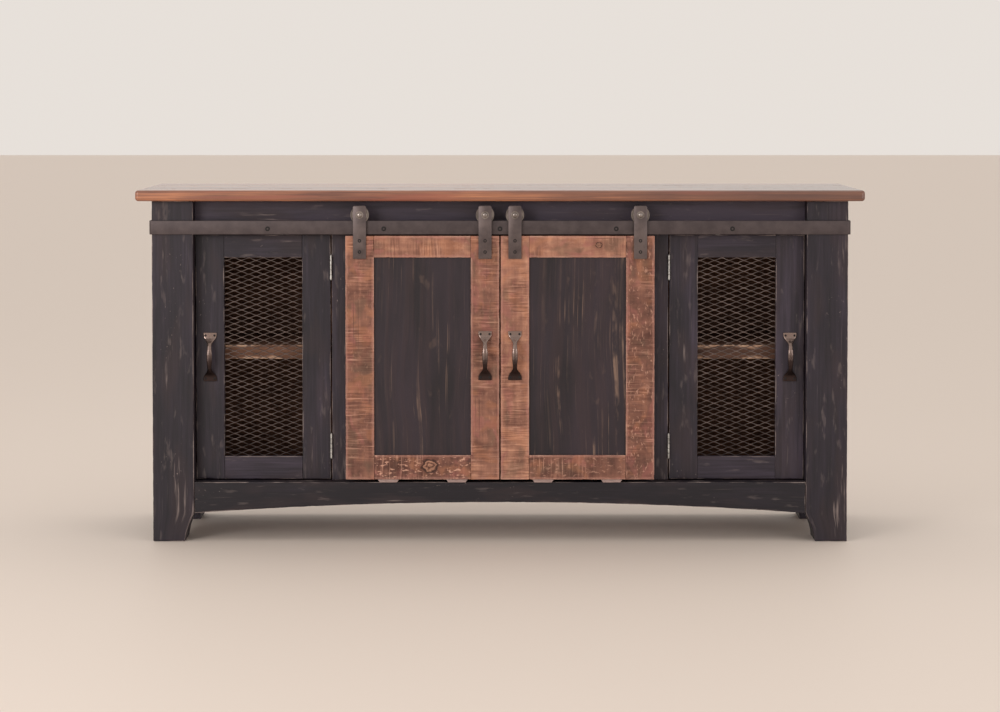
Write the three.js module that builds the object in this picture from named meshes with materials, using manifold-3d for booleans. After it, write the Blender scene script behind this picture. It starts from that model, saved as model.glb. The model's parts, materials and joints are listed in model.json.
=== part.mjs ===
// Rustic media cabinet: a case on four corner posts, two hinged doors with expanded-metal panels,
// and two panelled barn doors that hang on wheels from a flat steel track across the front.
import * as THREE from "three";
import { mergeVertices } from "three/addons/utils/BufferGeometryUtils.js";
import Module from "manifold-3d";

const wasm = await Module();
wasm.setup();

// Driving dimensions, in mm. X runs to the right, Y from front to back, Z up from the floor.
// Every Y in this file is counted from the front face of the posts. The last lines move the
// whole cabinet, so that its origin lies on the floor under the middle of its outline.
const TOP_WIDTH = 1778;
const TOP_DEPTH = 483;
const TOP_THICKNESS = 27;
const TOP_FRONT_OVERHANG = 30;
const HEIGHT = 864;
const BODY_WIDTH = 1704;
const BODY_DEPTH = 443;
const POST = 101;
const FOOT_WIDTH = 78;
const FOOT_HEIGHT = 69;
const APRON_HEIGHT = 77;
const APRON_THICKNESS = 22;
const APRON_RECESS = 3;
const ARCH_RISE = 27;
const PANEL = 18;
const SIDE_RECESS = 15;
const SIDE_APRON_RECESS = 4;
const BACK_THICKNESS = 12;
const BACK_INSET = 6;
const FRAME_RECESS = 38;
const BOARD = 20;
const CENTRE_OPENING = 688;
const STILE = 70;
const CABLE_HOLE_RADIUS = 32;
const SIDE_OUTLET_HEIGHT = 745;
const CENTRE_OUTLET = [120, 600];

const TRACK_BOTTOM = 755;
const TRACK_HEIGHT = 34;
const TRACK_THICKNESS = 5;
const TRACK_RETURN = 60;
const BOLT_SPACING = 284;
const BOLT_HEIGHT = 769;
const BOLT_RADIUS = 4;
const BOLT_HEAD_RADIUS = 6;
const SLEEVE_RADIUS = 7;

const BARN_DOOR_WIDTH = 376.5;
const BARN_DOOR_BOTTOM = 154;
const BARN_DOOR_TOP = 752;
const BARN_DOOR_FRONT = -10.5;
const BARN_TOP_RAIL = 53;
const BARN_BOTTOM_RAIL = 60;
const BARN_PANEL_SETBACK = 6;
const BARN_PANEL_THICKNESS = 8;
const GROOVE_DEPTH = 8;
const MEETING_GAP = 3;

const MESH_DOOR_BOTTOM = 149;
const MESH_DOOR_TOP = 752;
const MESH_BOTTOM_RAIL = 56;
const MESH_TOP_RAIL = 56;
const MESH_SETBACK = 10;
const MESH_THICKNESS = 2;
const MESH_CELL_WIDTH = 60;
const MESH_CELL_HEIGHT = 27;
const MESH_STRAND = 5;
const HINGE_GAP = 3;
const LATCH_GAP = 2;

const SHELF_TOP = 477;
const SHELF_FRONT = 75;
const SHELF_BACK = 415;
const SHELF_LIP_HEIGHT = 35;
const SHELF_LIP_DEPTH = 20;

const HANDLE_LENGTH = 121;
const HANDLE_REACH = 26;
const HANDLE_FOOT_WIDTH = 34;
const HANDLE_GRIP_WIDTH = 14;
const HANDLE_NECK_WIDTH = 10;
const HANDLE_THICKNESS = 6;
const HANDLE_FOOT_THICKNESS = 4;
const HANDLE_FOOT_RUN = 8;
const HANDLE_NECK_RUN = 26;
const HANDLE_GRIP_RUN = 42;
const BARN_HANDLE_HEIGHT = 459;
const MESH_HANDLE_HEIGHT = 451;

const STRAP_WIDTH = 32;
const STRAP_THICKNESS = 4;
const STRAP_BOTTOM = 696;
const STRAP_TOP = 826;
const STRAP_SCREW_HEIGHTS = [713, 740];
const WHEEL_RADIUS = 22.5;
const WHEEL_GROOVE_RADIUS = 13.8;
const WHEEL_WIDTH = 13;
const AXLE_RADIUS = 5;

const GUIDE_OFFSET = 84;
const GUIDE_WIDTH = 52;
const GUIDE_FOOT_WIDTH = 42;
const GUIDE_FRONT = -6;
const GUIDE_BACK = 14;
const TONGUE_THICKNESS = 3.6;
const TONGUE_DROP = 5.5;
const APRON_GROOVE = { front: 9.5, back: 14.5, bottom: 139, halfLength: 690 };

const HINGE_LENGTH = 60;
const HINGE_HEIGHTS = { lower: 231, upper: 672 };
const KNUCKLE_RADIUS = 3.2;
const KNUCKLES = 5;
const PIN_RADIUS = 1.4;
const PIN_CLEARANCE = 0.2;
const LEAF_THICKNESS = 1;
const LEAF_DEPTH = 18;
const HINGE_AXIS_Y = FRAME_RECESS - KNUCKLE_RADIUS - 0.6;

const GAP = 0.3; // left between pieces that meet
const ROUND = 24; // sides of a wheel
const SMALL_ROUND = 12; // sides of a bolt, a screw or a hinge knuckle
const CURVE = 12; // steps along a curved edge

// Places worked out from the driving dimensions.
const caseTop = HEIGHT - TOP_THICKNESS - GAP;
const floorTop = FOOT_HEIGHT + APRON_HEIGHT;
const bodyHalf = BODY_WIDTH / 2;
const postInner = bodyHalf - POST;
const rearPostFront = BODY_DEPTH - POST;
const openingHalf = CENTRE_OPENING / 2;
const stileOuter = openingHalf + STILE;
const dividerInner = openingHalf + (STILE - PANEL) / 2;
const backPanelFront = BODY_DEPTH - BACK_INSET - BACK_THICKNESS;
const hingeAxisX = stileOuter + HINGE_GAP / 2;
const trackFront = -GAP - TRACK_THICKNESS;
const trackMiddle = -GAP - TRACK_THICKNESS / 2;
const axleHeight = TRACK_BOTTOM + TRACK_HEIGHT + GAP + WHEEL_GROOVE_RADIUS;
const sides = { left: -1, right: 1 };

const painted = new THREE.MeshStandardMaterial({ color: "#3c383a", roughness: 0.6 });
const paintedPanel = new THREE.MeshStandardMaterial({ color: "#403a3a", roughness: 0.65 });
const sawnPine = new THREE.MeshStandardMaterial({ color: "#97694f", roughness: 0.8 });
const stainedTop = new THREE.MeshStandardMaterial({ color: "#92614a", roughness: 0.45 });
const bareWood = new THREE.MeshStandardMaterial({ color: "#6f4c38", roughness: 0.85 });
const darkSteel = new THREE.MeshStandardMaterial({ color: "#5b4f4e", roughness: 0.5, metalness: 0.7 });
const castIron = new THREE.MeshStandardMaterial({ color: "#4a403e", roughness: 0.45, metalness: 0.8 });
const zinc = new THREE.MeshStandardMaterial({ color: "#c9c8c4", roughness: 0.35, metalness: 0.9 });
const nylon = new THREE.MeshStandardMaterial({ color: "#9b827d", roughness: 0.5 });

function mesh(name, geometry, material) {
  const made = new THREE.Mesh(geometry, material);
  made.name = name;
  return made;
}

// The run between two distances from the middle plane, on the left or on the right.
function span(side, near, far) {
  return side < 0 ? [-far, -near] : [near, far];
}

// A squared board between the two ends of its run along each axis.
function board(name, [left, right], [front, back], [bottom, top], material) {
  const geometry = new THREE.BoxGeometry(right - left, back - front, top - bottom);
  const made = mesh(name, geometry, material);
  made.position.set((left + right) / 2, (front + back) / 2, (bottom + top) / 2);
  return made;
}

function outline(points) {
  return new THREE.Shape(points.map(([a, b]) => new THREE.Vector2(a, b)));
}

function rectangle([left, right], [low, high]) {
  return outline([[left, low], [right, low], [right, high], [left, high]]);
}

function circle(x, y, radius) {
  return new THREE.Shape().absarc(x, y, radius, 0, 2 * Math.PI);
}

function withHoles(shape, holes) {
  shape.holes.push(...holes);
  return shape;
}

function extruded(shape, depth) {
  return new THREE.ExtrudeGeometry(shape, { depth, bevelEnabled: false, curveSegments: CURVE });
}

// An outline in X and Z, thick from front to back.
function upright(shape, front, back) {
  return extruded(shape, back - front).rotateX(Math.PI / 2).translate(0, back, 0);
}

// An outline in X and Y, thick from bottom to top.
function level(shape, bottom, top) {
  return extruded(shape, top - bottom).translate(0, 0, bottom);
}

// An outline in Y and Z, wide along X.
function across(shape, [left, right]) {
  const turn = new THREE.Matrix4().makeBasis(
    new THREE.Vector3(0, 1, 0),
    new THREE.Vector3(0, 0, 1),
    new THREE.Vector3(1, 0, 0),
  );
  return extruded(shape, right - left).applyMatrix4(turn).translate(left, 0, 0);
}

// A profile of [radius, y] points, turned about a line that runs from front to back.
function turned(profile, x, z, around = SMALL_ROUND) {
  const points = profile.map(([radius, y]) => new THREE.Vector2(radius, y));
  return new THREE.LatheGeometry(points, around).translate(x, 0, z);
}

// An upright cylinder, as on a hinge.
function barrel(radius, x, y, [bottom, top]) {
  return new THREE.CylinderGeometry(radius, radius, top - bottom, SMALL_ROUND)
    .rotateX(Math.PI / 2)
    .translate(x, y, (bottom + top) / 2);
}

function solid(geometry) {
  const bare = new THREE.BufferGeometry();
  bare.setAttribute("position", geometry.getAttribute("position"));
  bare.setIndex(geometry.getIndex());
  const merged = mergeVertices(bare);
  const vertProperties = merged.getAttribute("position").array;
  const triVerts = new Uint32Array(merged.getIndex().array);
  return new wasm.Manifold(new wasm.Mesh({ numProp: 3, vertProperties, triVerts }));
}

function geometryOf(body) {
  const { vertProperties, triVerts } = body.getMesh();
  const geometry = new THREE.BufferGeometry();
  geometry.setAttribute("position", new THREE.BufferAttribute(vertProperties, 3));
  geometry.setIndex(new THREE.BufferAttribute(triVerts, 1));
  return geometry;
}

function joined(...pieces) {
  return geometryOf(pieces.map(solid).reduce((sum, piece) => sum.add(piece)));
}

function cut(piece, ...tools) {
  return geometryOf(tools.map(solid).reduce((rest, tool) => rest.subtract(tool), solid(piece)));
}

function common(one, other) {
  return geometryOf(solid(one).intersect(solid(other)));
}

// The top: one board with rounded edges and slightly rounded corners.
function topPanel() {
  const roundover = 5;
  const corner = 6;
  const x = TOP_WIDTH / 2 - roundover;
  const front = -TOP_FRONT_OVERHANG + roundover;
  const back = TOP_DEPTH - TOP_FRONT_OVERHANG - roundover;
  const shape = new THREE.Shape();
  shape.moveTo(-x + corner, front);
  shape.absarc(x - corner, front + corner, corner, -Math.PI / 2, 0);
  shape.absarc(x - corner, back - corner, corner, 0, Math.PI / 2);
  shape.absarc(-x + corner, back - corner, corner, Math.PI / 2, Math.PI);
  shape.absarc(-x + corner, front + corner, corner, Math.PI, 1.5 * Math.PI);
  const geometry = new THREE.ExtrudeGeometry(shape, {
    depth: TOP_THICKNESS - 2 * roundover,
    bevelSize: roundover,
    bevelThickness: roundover,
    bevelSegments: 3,
    curveSegments: 3,
  });
  return mesh("top_panel", geometry.translate(0, 0, HEIGHT - TOP_THICKNESS + roundover), stainedTop);
}

// A corner post, whose foot narrows towards the floor on its inner side.
function post(name, side, front, back) {
  const shape = new THREE.Shape();
  shape.moveTo(side * bodyHalf, 0);
  shape.lineTo(side * (bodyHalf - FOOT_WIDTH), 0);
  shape.quadraticCurveTo(
    side * (bodyHalf - FOOT_WIDTH - 4),
    FOOT_HEIGHT * 0.6,
    side * postInner,
    FOOT_HEIGHT,
  );
  shape.lineTo(side * postInner, caseTop);
  shape.lineTo(side * bodyHalf, caseTop);
  return mesh(name, upright(shape, front, back), painted);
}

// The case: posts, sides, aprons, floor, back, dividers and face frame.
function casePieces() {
  const pieces = [];
  const between = [-postInner + GAP, postInner - GAP];
  const betweenPosts = [POST + GAP, rearPostFront - GAP];
  const apronTop = floorTop - GAP;

  for (const [word, side] of Object.entries(sides)) {
    pieces.push(post(`post_front_${word}`, side, 0, POST));
    pieces.push(post(`post_rear_${word}`, side, rearPostFront, BODY_DEPTH));

    const panelRun = span(side, bodyHalf - SIDE_RECESS - PANEL, bodyHalf - SIDE_RECESS);
    pieces.push(board(`side_panel_${word}`, panelRun, betweenPosts, [floorTop, caseTop], painted));
    const apronFace = bodyHalf - SIDE_APRON_RECESS;
    const apronRun = span(side, apronFace - APRON_THICKNESS, apronFace);
    pieces.push(board(`side_apron_${word}`, apronRun, betweenPosts, [FOOT_HEIGHT, apronTop], painted));

    const dividerRun = span(side, dividerInner, dividerInner + PANEL);
    const dividerDepth = [FRAME_RECESS + BOARD + GAP, backPanelFront - GAP];
    const dividerHeight = [floorTop + GAP, caseTop];
    pieces.push(board(`divider_panel_${word}`, dividerRun, dividerDepth, dividerHeight, bareWood));
    const stileRun = span(side, openingHalf, stileOuter);
    const stileDepth = [FRAME_RECESS, FRAME_RECESS + BOARD];
    const stileHeight = [floorTop + GAP, TRACK_BOTTOM - GAP];
    pieces.push(board(`divider_stile_${word}`, stileRun, stileDepth, stileHeight, painted));
  }

  const headerDepth = [FRAME_RECESS, FRAME_RECESS + BOARD];
  pieces.push(board("header_rail", between, headerDepth, [TRACK_BOTTOM, caseTop], painted));
  pieces.push(frontApron(between));
  const rearApronBack = BODY_DEPTH - APRON_RECESS;
  const rearApronDepth = [rearApronBack - APRON_THICKNESS, rearApronBack];
  pieces.push(board("rear_apron", between, rearApronDepth, [FOOT_HEIGHT, apronTop], painted));
  pieces.push(bottomPanel(between, rearApronDepth[0] - GAP));

  const bayMiddle = (postInner + stileOuter) / 2;
  const outlets = [[-bayMiddle, SIDE_OUTLET_HEIGHT], CENTRE_OUTLET, [bayMiddle, SIDE_OUTLET_HEIGHT]];
  const holes = outlets.map(([x, z]) => circle(x, z, CABLE_HOLE_RADIUS));
  const backShape = withHoles(rectangle(between, [floorTop, caseTop]), holes);
  const back = upright(backShape, backPanelFront, backPanelFront + BACK_THICKNESS);
  pieces.push(mesh("back_panel", back, bareWood));
  return pieces;
}

// The front apron: its lower edge is an arch, and a groove in its upper edge steers the barn doors.
function frontApron([left, right]) {
  const front = APRON_RECESS;
  const shape = new THREE.Shape();
  shape.moveTo(left, FOOT_HEIGHT);
  shape.quadraticCurveTo(0, FOOT_HEIGHT + 2 * ARCH_RISE, right, FOOT_HEIGHT);
  shape.lineTo(right, floorTop);
  shape.lineTo(left, floorTop);
  const { halfLength, bottom } = APRON_GROOVE;
  const groove = upright(
    rectangle([-halfLength, halfLength], [bottom, floorTop + 1]),
    APRON_GROOVE.front,
    APRON_GROOVE.back,
  );
  const apron = cut(upright(shape, front, front + APRON_THICKNESS), groove);
  return mesh("front_apron", apron, painted);
}

// The case floor, which reaches out to the side panels between the posts.
function bottomPanel([, inner], back) {
  const wing = bodyHalf - SIDE_RECESS - PANEL - GAP;
  const front = APRON_RECESS + APRON_THICKNESS + GAP;
  const wingFront = POST + GAP;
  const wingBack = rearPostFront - GAP;
  const half = [
    [inner, front],
    [inner, wingFront],
    [wing, wingFront],
    [wing, wingBack],
    [inner, wingBack],
    [inner, back],
  ];
  const mirrored = half.map(([x, y]) => [-x, y]).reverse();
  const panel = level(outline([...half, ...mirrored]), floorTop - PANEL, floorTop);
  return mesh("bottom_panel", panel, bareWood);
}

// The track: a flat bar bent back round the corners of the front posts, with a hole for each bolt.
function doorTrack(boltPlaces) {
  const outer = bodyHalf + GAP + TRACK_THICKNESS;
  const bend = TRACK_THICKNESS + 1;
  const shape = new THREE.Shape();
  shape.moveTo(-outer, TRACK_RETURN);
  shape.absarc(-outer + bend, trackFront + bend, bend, Math.PI, 1.5 * Math.PI);
  shape.absarc(outer - bend, trackFront + bend, bend, 1.5 * Math.PI, 2 * Math.PI);
  shape.lineTo(outer, TRACK_RETURN);
  shape.lineTo(bodyHalf + GAP, TRACK_RETURN);
  shape.lineTo(bodyHalf + GAP, -GAP);
  shape.lineTo(-bodyHalf - GAP, -GAP);
  shape.lineTo(-bodyHalf - GAP, TRACK_RETURN);
  const bar = level(shape, TRACK_BOTTOM, TRACK_BOTTOM + TRACK_HEIGHT);
  const holeRadius = BOLT_RADIUS + 0.4;
  const sinkRadius = BOLT_HEAD_RADIUS + 0.4;
  const sink = [
    [0, trackFront - 1],
    [sinkRadius, trackFront - 1],
    [sinkRadius, trackFront + 0.5],
    [holeRadius, trackFront + 2.5],
    [holeRadius, 1],
    [0, 1],
  ];
  return mesh("door_track", cut(bar, ...boltPlaces.map((x) => turned(sink, x, BOLT_HEIGHT))), darkSteel);
}

// A track bolt: a countersunk head in the bar, and a sleeve that holds the bar off the header.
function trackBolt(name, x) {
  const sleeveFront = 0;
  const end = FRAME_RECESS - GAP;
  const profile = [
    [0, trackFront - 0.4],
    [BOLT_HEAD_RADIUS, trackFront - 0.1],
    [BOLT_HEAD_RADIUS, trackFront + 0.5],
    [BOLT_RADIUS, trackFront + 2.5],
    [BOLT_RADIUS, sleeveFront],
    [SLEEVE_RADIUS, sleeveFront],
    [SLEEVE_RADIUS, end],
    [0, end],
  ];
  return mesh(name, turned(profile, x, BOLT_HEIGHT), darkSteel);
}

// A shelf board with a deeper lip along its front edge.
function shelf(name, run) {
  const shape = outline([
    [SHELF_FRONT, SHELF_TOP - SHELF_LIP_HEIGHT],
    [SHELF_FRONT + SHELF_LIP_DEPTH, SHELF_TOP - SHELF_LIP_HEIGHT],
    [SHELF_FRONT + SHELF_LIP_DEPTH, SHELF_TOP - PANEL],
    [SHELF_BACK, SHELF_TOP - PANEL],
    [SHELF_BACK, SHELF_TOP],
    [SHELF_FRONT, SHELF_TOP],
  ]);
  return mesh(name, across(shape, run), bareWood);
}

// A door frame with an opening, and a wider slot inside it that holds the panel or the sheet.
function doorFrame(xRun, zRun, openX, openZ, front, [slotFront, slotBack]) {
  const shape = withHoles(rectangle(xRun, zRun), [rectangle(openX, openZ)]);
  const slot = rectangle(grown(openX, GROOVE_DEPTH), grown(openZ, GROOVE_DEPTH));
  return cut(upright(shape, front, front + BOARD), upright(slot, slotFront, slotBack));
}

function grown([low, high], by) {
  return [low - by, high + by];
}

// A pull: two flared feet and a grip that stands off the door, symmetric about its middle.
// Its side outline and its front outline are both extruded, and the pull is what they share.
function handle(name, x, face, height) {
  const end = HANDLE_LENGTH / 2;
  const reach = -HANDLE_REACH;
  const inside = reach + HANDLE_THICKNESS;
  const heel = -HANDLE_FOOT_THICKNESS;
  const toe = heel - 1;
  const footTop = end - HANDLE_FOOT_RUN;
  const footHollow = end - 2 * HANDLE_FOOT_RUN;
  const neckTop = end - HANDLE_NECK_RUN;
  const gripTop = end - HANDLE_GRIP_RUN;
  const side = new THREE.Shape();
  side.moveTo(0, -end);
  side.lineTo(heel, -end);
  side.lineTo(toe, -footTop);
  side.bezierCurveTo(reach, -footHollow, reach, -neckTop, reach, -gripTop);
  side.lineTo(reach, gripTop);
  side.bezierCurveTo(reach, neckTop, reach, footHollow, toe, footTop);
  side.lineTo(heel, end);
  side.lineTo(0, end);
  side.lineTo(0, footHollow);
  side.bezierCurveTo(inside + 3, footHollow, inside, neckTop, inside, gripTop);
  side.lineTo(inside, -gripTop);
  side.bezierCurveTo(inside, -neckTop, inside + 3, -footHollow, 0, -footHollow);

  const foot = HANDLE_FOOT_WIDTH / 2;
  const neck = HANDLE_NECK_WIDTH / 2;
  const grip = HANDLE_GRIP_WIDTH / 2;
  const corner = foot - 1;
  const front = new THREE.Shape();
  front.moveTo(-foot, -end);
  front.lineTo(foot, -end);
  front.lineTo(corner, -footTop);
  front.quadraticCurveTo(neck, -footHollow, neck, -neckTop);
  front.quadraticCurveTo(grip, 0, neck, neckTop);
  front.quadraticCurveTo(neck, footHollow, corner, footTop);
  front.lineTo(foot, end);
  front.lineTo(-foot, end);
  front.lineTo(-corner, footTop);
  front.quadraticCurveTo(-neck, footHollow, -neck, neckTop);
  front.quadraticCurveTo(-grip, 0, -neck, -neckTop);
  front.quadraticCurveTo(-neck, -footHollow, -corner, -footTop);

  const sideSolid = across(side, [-foot - 1, foot + 1]);
  const frontSolid = upright(front, reach - 1, 1);
  const pull = mesh(name, common(sideSolid, frontSolid), castIron);
  pull.position.set(x, face - GAP, height);
  return pull;
}

// Half of a butt hinge: a leaf in the gap beside the door, and its share of the knuckles.
// The frame leaf holds the odd knuckles and the pin, the door leaf the two between them.
function hingeLeaf(name, side, middle, onFrame) {
  const step = HINGE_LENGTH / KNUCKLES;
  const bottom = middle - HINGE_LENGTH / 2;
  const x = side * hingeAxisX;
  const own = [];
  const others = [];
  for (let i = 0; i < KNUCKLES; i += 1) {
    const run = [bottom + i * step, bottom + (i + 1) * step];
    if ((i % 2 === 0) === onFrame) {
      own.push(barrel(KNUCKLE_RADIUS, x, HINGE_AXIS_Y, grown(run, -GAP / 2)));
    } else {
      others.push(barrel(KNUCKLE_RADIUS + GAP, x, HINGE_AXIS_Y, grown(run, GAP / 2)));
    }
  }
  const inset = (HINGE_GAP / 2 - LEAF_THICKNESS) / 2;
  const near = onFrame ? -inset - LEAF_THICKNESS : inset;
  const plateX = span(side, hingeAxisX + near, hingeAxisX + near + LEAF_THICKNESS);
  const plateZ = [bottom + GAP, bottom + HINGE_LENGTH - GAP];
  const plate = upright(rectangle(plateX, plateZ), HINGE_AXIS_Y + 2.6, FRAME_RECESS + LEAF_DEPTH);
  const leaf = cut(joined(plate, ...own), ...others);
  const pinZ = grown(plateZ, 2);
  if (onFrame) return mesh(name, joined(leaf, barrel(PIN_RADIUS, x, HINGE_AXIS_Y, pinZ)), zinc);
  const bore = barrel(PIN_RADIUS + PIN_CLEARANCE, x, HINGE_AXIS_Y, pinZ);
  return mesh(name, cut(leaf, bore), zinc);
}

// A hinged door: frame, expanded-metal sheet in a rebate behind it, pull and two hinge leaves.
function meshDoor(word, side) {
  const xRun = span(side, stileOuter + HINGE_GAP, postInner - LATCH_GAP);
  const zRun = [MESH_DOOR_BOTTOM, MESH_DOOR_TOP];
  const front = FRAME_RECESS;
  const openX = grown(xRun, -STILE);
  const openZ = [MESH_DOOR_BOTTOM + MESH_BOTTOM_RAIL, MESH_DOOR_TOP - MESH_TOP_RAIL];
  const rebate = [front + MESH_SETBACK, front + BOARD + 1];
  const frame = doorFrame(xRun, zRun, openX, openZ, front, rebate);
  const door = new THREE.Group();
  door.add(mesh(`mesh_door_frame_${word}`, frame, painted));
  door.add(meshSheet(`mesh_sheet_${word}`, openX, openZ, front + MESH_SETBACK + GAP));
  const handleX = side * (postInner - LATCH_GAP - STILE / 2);
  door.add(handle(`mesh_door_handle_${word}`, handleX, front, MESH_HANDLE_HEIGHT));
  return door;
}

// The expanded metal, drawn at twice the pitch of the real sheet: staggered diamond openings.
function meshSheet(name, openX, openZ, front) {
  const margin = GROOVE_DEPTH - 2;
  const centreX = (openX[0] + openX[1]) / 2;
  const centreZ = (openZ[0] + openZ[1]) / 2;
  const halfWidth = MESH_CELL_WIDTH / 2 - MESH_STRAND;
  const halfHeight = MESH_CELL_HEIGHT / 2 - MESH_STRAND / 2;
  const rows = Math.floor((openZ[1] - openZ[0]) / MESH_CELL_HEIGHT);
  const holes = [];
  for (let row = -rows; row <= rows; row += 1) {
    const shift = row % 2 === 0 ? 0 : MESH_CELL_WIDTH / 2;
    for (let column = -2; column <= 2; column += 1) {
      const x = centreX + column * MESH_CELL_WIDTH + shift;
      const z = centreZ + (row * MESH_CELL_HEIGHT) / 2;
      const inside =
        Math.abs(x - centreX) + halfWidth < (openX[1] - openX[0]) / 2 &&
        Math.abs(z - centreZ) + halfHeight < (openZ[1] - openZ[0]) / 2;
      if (inside) {
        const diamond = [
          [x - halfWidth, z],
          [x, z - halfHeight],
          [x + halfWidth, z],
          [x, z + halfHeight],
        ];
        holes.push(outline(diamond));
      }
    }
  }
  const sheet = withHoles(rectangle(grown(openX, margin), grown(openZ, margin)), holes);
  return mesh(name, upright(sheet, front, front + MESH_THICKNESS), darkSteel);
}

// A hanger strap with its axle, axle head and two screws, bolted to the face of a barn door.
function hangerStrap(name, x) {
  const back = BARN_DOOR_FRONT - GAP;
  const front = back - STRAP_THICKNESS;
  const half = STRAP_WIDTH / 2;
  const clip = 3;
  const plate = upright(
    outline([
      [x - half, STRAP_BOTTOM],
      [x + half, STRAP_BOTTOM],
      [x + half, STRAP_TOP - clip],
      [x + half - clip, STRAP_TOP],
      [x - half + clip, STRAP_TOP],
      [x - half, STRAP_TOP - clip],
    ]),
    front,
    back,
  );
  const axleEnd = trackMiddle + WHEEL_WIDTH / 2 + 2;
  const axle = turned(
    [
      [0, front - 4.5],
      [5, front - 3.5],
      [8, front],
      [AXLE_RADIUS, back - 1],
      [AXLE_RADIUS, axleEnd],
      [0, axleEnd],
    ],
    x,
    axleHeight,
  );
  const screws = STRAP_SCREW_HEIGHTS.map((z) =>
    turned([[0, front - 1.2], [3.5, front - 0.8], [4.5, front + 1], [0, front + 1]], x, z),
  );
  return mesh(name, joined(plate, axle, ...screws), darkSteel);
}

// A grooved wheel that rides on the upper edge of the track.
function hangerWheel(name, x) {
  const half = WHEEL_WIDTH / 2;
  const bore = AXLE_RADIUS + 0.3;
  const grooveHalf = TRACK_THICKNESS / 2 + 0.5;
  const profile = [
    [bore, -half],
    [WHEEL_RADIUS - 1, -half],
    [WHEEL_RADIUS, -half + 1],
    [WHEEL_RADIUS, -half + 2],
    [WHEEL_GROOVE_RADIUS, -grooveHalf],
    [WHEEL_GROOVE_RADIUS, grooveHalf],
    [WHEEL_RADIUS, half - 2],
    [WHEEL_RADIUS, half - 1],
    [WHEEL_RADIUS - 1, half],
    [bore, half],
    [bore, -half],
  ];
  const wheel = mesh(name, turned(profile, 0, 0, ROUND), darkSteel);
  wheel.position.set(x, trackMiddle, axleHeight);
  return wheel;
}

// A glide under a barn door: a tapered block with a tongue that runs in the apron's groove.
function bottomGuide(name, x) {
  const top = BARN_DOOR_BOTTOM - GAP;
  const bottom = floorTop + GAP;
  const half = GUIDE_WIDTH / 2;
  const foot = GUIDE_FOOT_WIDTH / 2;
  const block = upright(
    outline([[x - foot, bottom], [x + foot, bottom], [x + half, top], [x - half, top]]),
    GUIDE_FRONT,
    GUIDE_BACK,
  );
  const middle = (APRON_GROOVE.front + APRON_GROOVE.back) / 2;
  const tongue = upright(
    rectangle([x - foot, x + foot], [floorTop - TONGUE_DROP, bottom + 1]),
    middle - TONGUE_THICKNESS / 2,
    middle + TONGUE_THICKNESS / 2,
  );
  return mesh(name, joined(block, tongue), nylon);
}

// A barn door: frame with its panel held in a groove, pull, hanger straps, wheels and glides.
function barnDoor(word, side) {
  const near = MEETING_GAP / 2;
  const far = near + BARN_DOOR_WIDTH;
  const xRun = span(side, near, far);
  const zRun = [BARN_DOOR_BOTTOM, BARN_DOOR_TOP];
  const openX = grown(xRun, -STILE);
  const openZ = [BARN_DOOR_BOTTOM + BARN_BOTTOM_RAIL, BARN_DOOR_TOP - BARN_TOP_RAIL];
  const panelFront = BARN_DOOR_FRONT + BARN_PANEL_SETBACK;
  const panelBack = panelFront + BARN_PANEL_THICKNESS;
  const groove = [panelFront - GAP, panelBack + GAP];
  const frame = doorFrame(xRun, zRun, openX, openZ, BARN_DOOR_FRONT, groove);
  const door = new THREE.Group();
  door.add(mesh(`barn_door_frame_${word}`, frame, sawnPine));
  const panelX = grown(openX, GROOVE_DEPTH - 1);
  const panelZ = grown(openZ, GROOVE_DEPTH - 1);
  door.add(board(`barn_door_panel_${word}`, panelX, [panelFront, panelBack], panelZ, paintedPanel));
  const handleX = side * (near + STILE / 2);
  door.add(handle(`barn_door_handle_${word}`, handleX, BARN_DOOR_FRONT, BARN_HANDLE_HEIGHT));
  const hangers = { inner: near + STILE / 2, outer: far - STILE / 2 };
  for (const [place, distance] of Object.entries(hangers)) {
    door.add(hangerStrap(`hanger_strap_${word}_${place}`, side * distance));
    door.add(hangerWheel(`hanger_wheel_${word}_${place}`, side * distance));
    const guideX = side * ((near + far) / 2 + (place === "inner" ? -GUIDE_OFFSET : GUIDE_OFFSET));
    door.add(bottomGuide(`bottom_guide_${word}_${place}`, guideX));
  }
  return door;
}

const cabinet = new THREE.Group();
cabinet.add(topPanel(), ...casePieces());

const boltPlaces = [-2, -1, 0, 1, 2].map((step) => step * BOLT_SPACING);
cabinet.add(doorTrack(boltPlaces));
boltPlaces.forEach((x, i) => cabinet.add(trackBolt(`track_bolt_${i + 1}`, x)));

const shelfClearance = 1.5;
cabinet.add(shelf("shelf_centre", [-dividerInner + shelfClearance, dividerInner - shelfClearance]));
for (const [word, side] of Object.entries(sides)) {
  const run = span(side, dividerInner + PANEL + shelfClearance, postInner - shelfClearance);
  cabinet.add(shelf(`shelf_${word}`, run));
  for (const [place, middle] of Object.entries(HINGE_HEIGHTS)) {
    cabinet.add(hingeLeaf(`hinge_frame_leaf_${word}_${place}`, side, middle, true));
    cabinet.add(hingeLeaf(`hinge_door_leaf_${word}_${place}`, side, middle, false));
  }
  cabinet.add(meshDoor(word, side), barnDoor(word, side));
}

const frontmost = BARN_DOOR_FRONT - GAP - HANDLE_REACH;
const rearmost = TOP_DEPTH - TOP_FRONT_OVERHANG;
cabinet.position.y = -(frontmost + rearmost) / 2;

export default cabinet;
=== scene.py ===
# %% [markdown]
# # A rustic media cabinet
# This lesson dresses a low cabinet for a television: a black painted case, a red-brown plank top, two doors
# with expanded metal and two sawn pine doors that roll on a steel track. The frame already holds every size
# and joint. Each wooden part is made again here as its own board, with a softened arris, a wavy surface and
# its own grain.

# %% Load the frame
import json
import math
import random

import bmesh
import bpy
from mathutils import Matrix, Vector, noise


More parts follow.
